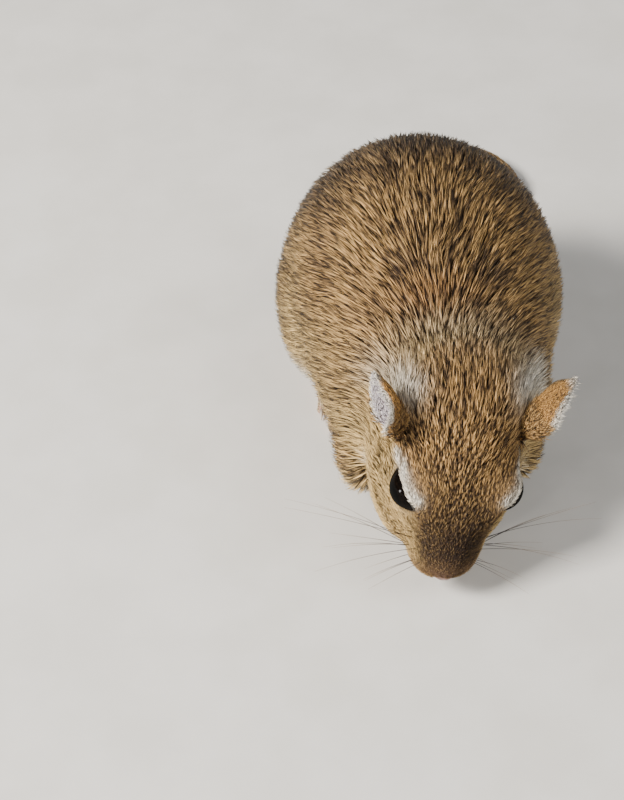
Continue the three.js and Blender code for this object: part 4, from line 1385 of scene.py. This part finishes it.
def make_eye(hand, side):
    """The eyeball, a sphere that bulges by 1 + 0.035 exp(-(angle / 38)^2) at the cornea."""
    rows, columns = 40, 64
    turns = np.linspace(0, 2 * np.pi, columns, endpoint=False)
    angle, turn = np.meshgrid(np.linspace(0.004, np.pi - 0.004, rows), turns, indexing="ij")
    cornea = 1 + 0.035 * np.exp(-((angle / math.radians(38)) ** 2))
    ball = round_the_eye(angle, turn, EYE.radius * cornea, side)
    points, triangles = capped(ball.reshape(-1, 3), rows, columns)
    mesh = mesh_of("eyeball_" + hand, points, facing_out(points, triangles))
    paint(mesh, "angle", np.append(angle.ravel(), [0, np.pi]))
    piece(mesh, EYE_FINISH, "eye", ["eye_" + hand])


# Degrees past the opening's edge and mm above the eyeball, once round the lid's section
LID_SECTION = [
    (-2, 0.0), (-0.5, 0.08), (1.5, 0.16), (4, 0.2), (8, 0.18), (12, 0.05), (15, -0.2), (6, -0.25), (0, -0.15),
]
LID_COLUMNS = 96
LID_HAIRS = 700


def lid_corner(turn):
    """Degrees by which the dark skin runs on past the eye's corners, further at the front."""
    return np.abs(np.cos(turn)) ** 6 * np.where(np.cos(turn) < 0, 48, 24)


def make_lids(hand, side):
    """A ring of skin round the almond opening, black along its rim and drawn out at the corners."""
    turn = np.linspace(0, 2 * np.pi, LID_COLUMNS, endpoint=False)
    past, above = (np.array(x)[:, None] for x in zip(*LID_SECTION))
    rows = len(LID_SECTION)
    angle = np.radians(opening(turn)[None, :] + past)
    crease = 0.02 * np.sin(turn * 17) * (past > 3)
    height = EYE.radius * 1.005 + above + crease
    points = round_the_eye(angle, turn[None, :].repeat(rows, 0), height, side).reshape(-1, 3)
    quads = lattice(rows + 1, LID_COLUMNS) % (rows * LID_COLUMNS)
    mesh = mesh_of("eyelids_" + hand, points, facing_out(points, halved(quads)))
    away = np.clip(past / (8 + lid_corner(turn)[None, :]), 0, 1)
    paint(mesh, "away", away.ravel())
    piece(mesh, LID_FINISH, "head_fur")


def make_lid_hair(hand, side, fur):
    """The short hairs on the lids, pale above the eye, that lie back over it and spread from it below."""
    rng = np.random.default_rng(61)
    turn = rng.uniform(0, 2 * np.pi, LID_HAIRS)
    past = rng.uniform(3.0, 10, LID_HAIRS) + 0.35 * lid_corner(turn)
    angle = np.radians(opening(turn) + past)
    root = round_the_eye(angle, turn, EYE.radius + 0.12, side)
    centre = to_side(EYE.at, side)
    out = unit(root - centre)
    back = to_side(EYE.at + EYE_AXES[1], side) - centre
    on_ball = round_the_eye(angle, turn, EYE.radius, side)
    spread = unit(round_the_eye(angle + 0.02, turn, EYE.radius, side) - on_ball)
    above = smooth(np.sin(turn), -0.3, 0.4)[:, None]
    way = back * mix(0.8, 1, above) + spread * mix(0.35, -0.12, above) + rng.normal(0, 0.12, (LID_HAIRS, 3))
    way = along_surface(way, out)
    t = np.linspace(0, 1, 3)[None, :, None]
    long = rng.uniform(0.8, 1.3, LID_HAIRS) * (1 - 0.4 * np.abs(np.cos(turn)) ** 6)
    line = root[:, None] + way[:, None] * long[:, None, None] * t
    height = EYE.radius + mix(0.12, 0.42, t) * rng.uniform(0.9, 1.25, LID_HAIRS)[:, None, None]
    line = centre + unit(line - centre) * height
    half = (0.055 * rng.uniform(0.8, 1.3, LID_HAIRS))[:, None] * np.array([0.8, 1.0])
    ground = mix(mix(CREAM, GOLD, 0.3), PALE, above * 0.9)
    looks = ticked(ground, np.full(LID_HAIRS, 0.04), rng)
    where = np.stack([turn, past / 40], 1)
    mesh = tuft_mesh("eyelid_coat_" + hand, line, unit(line - centre), half, looks, where)
    piece(mesh, fur, "head_fur")


NOSTRIL_BLEND = 0.25


def nose_field(own):
    """The nose pad, an ellipsoid, less two slanting nostrils by soft maximum and the cleft in its middle."""
    d = outside_mass(Named(at=NOSE.at, axes=np.eye(3), radii=NOSE.radii), own)[0]
    for side in (1, -1):
        axes = np.diag([side, 1, 1]) @ about("Z", 24) @ about("Y", 28)
        hole = Named(at=np.array([1.0 * side, -0.3, -0.2]), axes=axes, radii=np.array([0.36, 1.1, 0.58]))
        e = -outside_mass(hole, own)[0]
        h = np.maximum(NOSTRIL_BLEND - np.abs(d - e), 0) / NOSTRIL_BLEND
        d = np.maximum(d, e) + h * h * NOSTRIL_BLEND / 4
    return d + 0.3 * np.exp(-((own[:, 0] / 0.2) ** 2)) * (1 - smooth(own[:, 2], -0.2, 0.9))


def make_nose():
    """The nose pad, the field's slope taken by small steps."""
    steps = 0.02 * np.eye(3)

    def field(p):
        rise = np.stack([nose_field(p + step) - nose_field(p - step) for step in steps], 1)
        return nose_field(p), rise / (2 * steps.max())

    values, low = filled_grid(field, (-2.6, -1.1, -2.1), (2.6, 3.5, 2.3), NOSE_STEP)
    points, quads = surface_of(values, low, NOSE_STEP)
    points = settle(field, points, rounds=2, most=0.08)
    piece(mesh_of("nose_pad", from_head(points), quads), nose_finish(), "nose_skin", ["nose"])


def tapered(path, radius, sides):
    """Rings of a thin tapered tube along each path (n, steps, 3), turned square to it."""
    along = unit(np.gradient(path, axis=1))
    across = unit(np.cross(along, np.array([0.13, 0.21, 0.97])))
    over = np.cross(across, along)
    turn = np.linspace(0, 2 * np.pi, sides, endpoint=False)
    ring = across[:, :, None] * np.cos(turn)[:, None] + over[:, :, None] * np.sin(turn)[:, None]
    return path[:, :, None] + ring * radius[..., None, None]


def make_tapers(name, path, radius, sides, finish, slot):
    """Many thin tapered tubes in one mesh, closed at both ends, with `along` from 0 to 1."""
    count, steps = radius.shape
    parts, triangles = [], []
    for number, rings in enumerate(tapered(path, radius, sides)):
        points, faces = capped(rings.reshape(-1, 3), steps, sides)
        parts.append(points)
        triangles.append(facing_out(points - points.mean(0), faces) + number * len(points))
    mesh = mesh_of(name, np.vstack(parts), np.vstack(triangles))
    along = np.append(np.repeat(np.linspace(0, 1, steps), sides), [0, 1])
    paint(mesh, "along", np.tile(along, count))
    piece(mesh, finish, slot)


def make_whiskers():
    """Four rows down each pad, the rear ones longest, sweeping out and drooping."""
    rng = np.random.default_rng(5)
    roots, ways, longs = [], [], []
    for side, row, column in product((1, -1), range(4), range(3)):
        down, back = row / 3, column / 2
        y = mix(2.8, 7.4, back) + 0.4 * (row % 2)
        roots.append(mirrored((3.4 + 0.25 * y, y, mix(0.9, -2.6, down)), side))
        sweep = mix(-0.35, 0.5, back) + rng.normal(0, 0.1)
        ways.append(mirrored((1, sweep, mix(0.16, -0.25, down) + rng.normal(0, 0.06)), side))
        longs.append(mix(10, 21.5, back) * rng.uniform(0.85, 1.15) * mix(1, 0.7, down))
    roots = settle(coat_field, from_head(np.array(roots)), rounds=4, most=2)
    way = unit(np.array(ways) @ HEAD_AXES.T)
    t = np.linspace(0, 1, 16)
    long = np.array(longs)
    bend = np.cross(way, np.array([0, 1, 0]))
    path = roots[:, None] - way[:, None] * 0.4 + way[:, None] * (long[:, None] * t)[..., None]
    path[..., 2] -= (long[:, None] * 0.14) * t**2
    path += bend[:, None] * (rng.normal(0, 0.06, len(long))[:, None] * long[:, None] * t**2)[..., None]
    path[..., 2] = np.maximum(path[..., 2], 0.5)
    radius = np.tile(0.05 * (1 - 0.8 * t), (len(long), 1))
    make_tapers("whiskers", path, radius, 5, whisker_finish(), "head_fur")


# Feet, tail and forearms

# Tufts on a hind foot and on a forepaw
HIND_TUFTS = 3800
FORE_TUFTS = 2400


def make_foot(name, node, bones, claws, place, tufts, fur, seed):
    """One foot: its limbs joined softly into a skin, its claws, and short pale tufts over its upper side."""
    limbs = [tube(place(path), radius, count=24, blend=blend) for path, radius, blend in bones]
    field = joined(limbs)
    line = np.vstack([limb.line for limb in limbs])
    values, low = filled_grid(field, line.min(0) - 2.6, line.max(0) + 2.6, FOOT_STEP)
    points, quads = surface_of(values, low, FOOT_STEP)
    points = settle(field, points, rounds=2)
    points[:, 2] = np.maximum(points[:, 2], FLOOR_CLEAR)
    piece(mesh_of(name, points, quads), FOOT_FINISH, "foot_skin", [node])

    t = np.linspace(0, 1, 7)
    path = np.stack([path_through(place(claw), len(t)) for claw, _ in claws])
    radius = np.array([size for _, size in claws])[:, None] * (1 - 0.88 * t**1.4)
    path[..., 2] = np.maximum(path[..., 2], radius + FLOOR_CLEAR)
    make_tapers(name + "_claws", path, radius, 8, HORN_FINISH, "foot_skin")

    rng = np.random.default_rng(seed)
    triangles = halved(quads)
    centre = points[triangles].mean(1)
    upward = unit(field(centre)[1])[:, 2]
    roots = scattered(points, triangles, smooth(upward, -0.35, 0.2) + 0.02, tufts, rng)[0]
    out = unit(field(roots)[1])
    way = along_surface([0.0, -1.0, -0.25] + rng.normal(0, 0.16, (tufts, 3)), out)
    long = rng.uniform(0.6, 1.2, tufts)
    line, ridge = lay_over(field, roots, way, long, np.full(tufts, -0.06), rng.uniform(0.05, 0.24, tufts))
    half = np.array([0.07, 0.085]) * rng.uniform(0.8, 1.2, (tufts, 1))
    pale = mix(colour(228, 210, 178), colour(204, 178, 138), rng.random(tufts)[:, None])
    looks = ticked(pale, np.full(tufts, 0.05), rng)
    where = np.stack([roots[:, 0] / 20 + 0.2 * (out[:, 2] > 0), roots[:, 1] / 20], 1)
    piece(tuft_mesh(name + "_coat", line, ridge, half, looks, where), fur, "foot_skin")


def make_feet(hand, side, fur):
    """The hind foot under its haunch and the forepaw under the throat."""
    middle_y = (HIND_FOOT.heel_y + HIND_FOOT.toe_y) / 2

    def hind(p):
        return set_down(p, HIND_FOOT.x, middle_y, HIND_FOOT.turn, side, False)

    def fore(p):
        return set_down(p, FORE_PAW.x, FORE_PAW.y, FORE_PAW.turn, side, True)

    make_foot("hind_foot_" + hand, "hindfoot_" + hand, *hind_foot(), hind, HIND_TUFTS, fur, 51)
    make_foot("fore_paw_" + hand, "forepaw_" + hand, *fore_paw(), fore, FORE_TUFTS, fur, 52)


def limb_frame(limb, share):
    """A limb's middle line at shares of its length, running straight on past its end, and the ways across and
    up from it."""
    on = np.minimum(share, 1)
    middle, along = (np.stack([at_share(limb, part[:, i], on) for i in range(3)], -1)
                     for part in (limb.line, limb.along))
    along = unit(along)
    across = unit(np.cross([0, 0, 1], along))
    past = (share - on) * whole_length(limb)
    return middle + along * past[..., None], across, np.cross(along, across)


def whole_length(limb):
    """How long a limb is along its middle line."""
    return length_of(np.diff(limb.line, axis=0)).sum()


def at_share(limb, values, share):
    """Values given along a limb, read off at shares of its length."""
    return np.interp(share, np.linspace(0, 1, len(limb.line)), values)


def brush_reach(t):
    """How far the brush's tips stand out at a share t of its own length: fullest past its middle."""
    return TAIL_RADIUS * 0.9 + 1.3 * np.sin(np.pi * np.minimum(t * 0.8, 1)) - 1.5 * smooth(t, 0.85, 1.25)


def limb_tufts(limb, name, count, first, last, long, wide, rings, reach, hue, ticking, seed, **use):
    """Tufts rooted round a limb or the tail that lie back along it, their tips out at reach(share)."""
    rng = np.random.default_rng(seed)
    share = rng.uniform(first, last, count)
    turn = rng.uniform(0, 2 * np.pi, count)
    long = long(share) * rng.uniform(0.8, 1.2, count)
    t = np.linspace(0, 1, rings + 1)
    at = share[:, None] + long[:, None] * t / whole_length(limb)
    middle, across, over = limb_frame(limb, at)
    angle = turn[:, None] + rng.normal(0, 0.25, count)[:, None] * t
    radial = across * np.cos(angle)[..., None] + over * np.sin(angle)[..., None]
    skin = at_share(limb, limb.radii, share) - 0.1
    tip = np.maximum(reach(at[:, -1]) * rng.uniform(0.72, 1.03, count), 0.15)
    line = middle + radial * mix(skin[:, None], tip[:, None], t**0.7)[..., None]
    half = (wide / 2 * rng.uniform(0.75, 1.2, count))[:, None] * np.linspace(0.75, 1, rings)
    looks = ticked(hue(share, radial[:, 0, 2]), np.full(count, ticking), rng)
    piece(tuft_mesh(name, line, radial, half, looks, np.stack([turn, share * 6], 1)), **use)


def tail_hue(share, up):
    """Golden above and cream below, and the brush nearly black, less so below."""
    top = smooth(up, -0.5, 0.5)[:, None]
    body = mix(mix(CREAM, PALE, 0.3), mix(GOLD, WARM, 0.5), top)
    return mix(body, SABLE * 1.6, (smooth(share, 0.66, 0.8) * mix(0.6, 1, top[:, 0]))[:, None])


def foreleg_hue(share, up):
    """Nearly white, a little creamier above."""
    return mix(PALE, mix(CREAM, PALE, 0.35), smooth(up, -0.3, 0.5)[:, None])


def make_tail(fur):
    """The tail's coat, and the brush at its end."""
    limb_tufts(
        TAIL_FLESH, "tail_coat", count=10000, first=0.0, last=0.8,
        long=lambda s: mix(3.6, 2.4, smooth(s, 0, 0.4)), wide=0.17, rings=2, reach=tail_radius,
        hue=tail_hue, ticking=0.45, seed=41, material=fur, slot="tail_fur",
    )
    limb_tufts(
        TAIL_FLESH, "brush", count=3600, first=0.7, last=0.995,
        long=lambda s: mix(5.0, 8.0, smooth(s, 0.7, 0.95)), wide=0.2, rings=3,
        reach=lambda s: brush_reach((s - BRUSH_FROM) / (1 - BRUSH_FROM)),
        hue=tail_hue, ticking=0.9, seed=42, material=fur, slot="brush_fur", nodes=["tail_brush"],
    )


def make_sleeve(hand, side, fur):
    """The short fur of the forearm, from under the coat down to the wrist."""
    arm = forearm(side)
    limb_tufts(
        arm, "foreleg_coat_" + hand, count=3600, first=0.1, last=1.0,
        long=lambda s: mix(2.2, 1.0, s), wide=0.14, rings=2,
        reach=lambda s: at_share(arm, arm.radii, np.minimum(s, 1)) + mix(0.5, 0.3, s),
        hue=foreleg_hue, ticking=0.12, seed=43, material=fur, slot="body_fur",
    )


# The whole animal

fur = make_coat(*make_skin())
make_nose()
make_whiskers()
make_tail(fur)
for hand, side in SIDES:
    make_ear(hand, side, fur)
    make_sleeve(hand, side, fur)
    make_eye(hand, side)
    make_lids(hand, side)
    make_lid_hair(hand, side, fur)
    make_feet(hand, side, fur)


# Floor, light and camera

FLOOR_HALF = 3.0  # metres
PHOTO = Named(wide=624, high=800, focal=2024.5, sight=(430, 380))  # pixels; where the camera's aim falls
CAMERA = Named(azimuth=-6.0, elevation=44.0, distance=330.0)
SIGHT = Vector((np.array([0, -15, 16]) + SHIFT) * MM)


def make_floor():
    """A plain square floor under the animal's feet."""
    e = FLOOR_HALF
    mesh = bpy.data.meshes.new("floor")
    mesh.from_pydata([(-e, -e, 0), (e, -e, 0), (e, e, 0), (-e, e, 0)], [], [(0, 1, 2, 3)])
    mesh.materials.append(floor_finish())
    floor = bpy.data.objects.new("floor", mesh)
    bpy.context.scene.collection.objects.link(floor)


def seen_from(azimuth, elevation):
    """The way from the animal back to what looks at it, by degrees round from its front and up."""
    a, e = math.radians(azimuth), math.radians(elevation)
    return Vector((math.sin(a) * math.cos(e), -math.cos(a) * math.cos(e), math.sin(e)))


def set_up(data, place, turn):
    """A light or camera standing in the scene."""
    thing = bpy.data.objects.new(data.name, data)
    bpy.context.scene.collection.objects.link(thing)
    thing.location = place
    thing.rotation_mode = "QUATERNION"
    thing.rotation_quaternion = turn
    return thing


def make_light(name, azimuth, elevation, distance, size, power, tint):
    """A square soft light aimed at the animal's middle."""
    lamp = bpy.data.lights.new(name, "AREA")
    lamp.size, lamp.energy, lamp.color = size, power, tint
    back = seen_from(azimuth, elevation)
    set_up(lamp, SIGHT + back * distance, back.to_track_quat("Z", "Y"))


def make_camera():
    """Set so that SIGHT falls at the photograph's place for it, turned about the camera's own axes."""
    back = seen_from(CAMERA.azimuth, CAMERA.elevation)
    right = Vector((0, 0, 1)).cross(back).normalized()
    up = back.cross(right)
    shift_right = PHOTO.sight[0] - PHOTO.wide / 2
    shift_up = PHOTO.high / 2 - PHOTO.sight[1]
    aim = (back * PHOTO.focal + right * shift_right + up * shift_up).normalized()
    level = (right - aim * right.dot(aim)).normalized()
    axes = Matrix((level, aim.cross(level), aim)).transposed()
    data = bpy.data.cameras.new("camera")
    data.sensor_width = 36.0
    data.lens = PHOTO.focal * data.sensor_width / PHOTO.high
    data.clip_start, data.clip_end = 0.01, 10.0
    place = SIGHT + back * CAMERA.distance * MM
    bpy.context.scene.camera = set_up(data, place, axes.to_quaternion())


def make_world():
    """An even dim light from all round."""
    world = bpy.data.worlds.new("studio")
    world.use_nodes = True
    sky = world.node_tree.nodes["Background"].inputs
    sky["Color"].default_value = (0.9, 0.94, 1.0, 1)
    sky["Strength"].default_value = 0.3
    bpy.context.scene.world = world


make_floor()
make_light("key", -68, 46, 0.7, 0.2, 11.2, (1.0, 0.98, 0.95))
make_light("glint", -66, 4, 0.6, 0.09, 2.6, (1.0, 0.98, 0.95))
make_light("fill", 60, 50, 0.9, 0.6, 3.9, (0.96, 0.98, 1.0))
make_world()
make_camera()
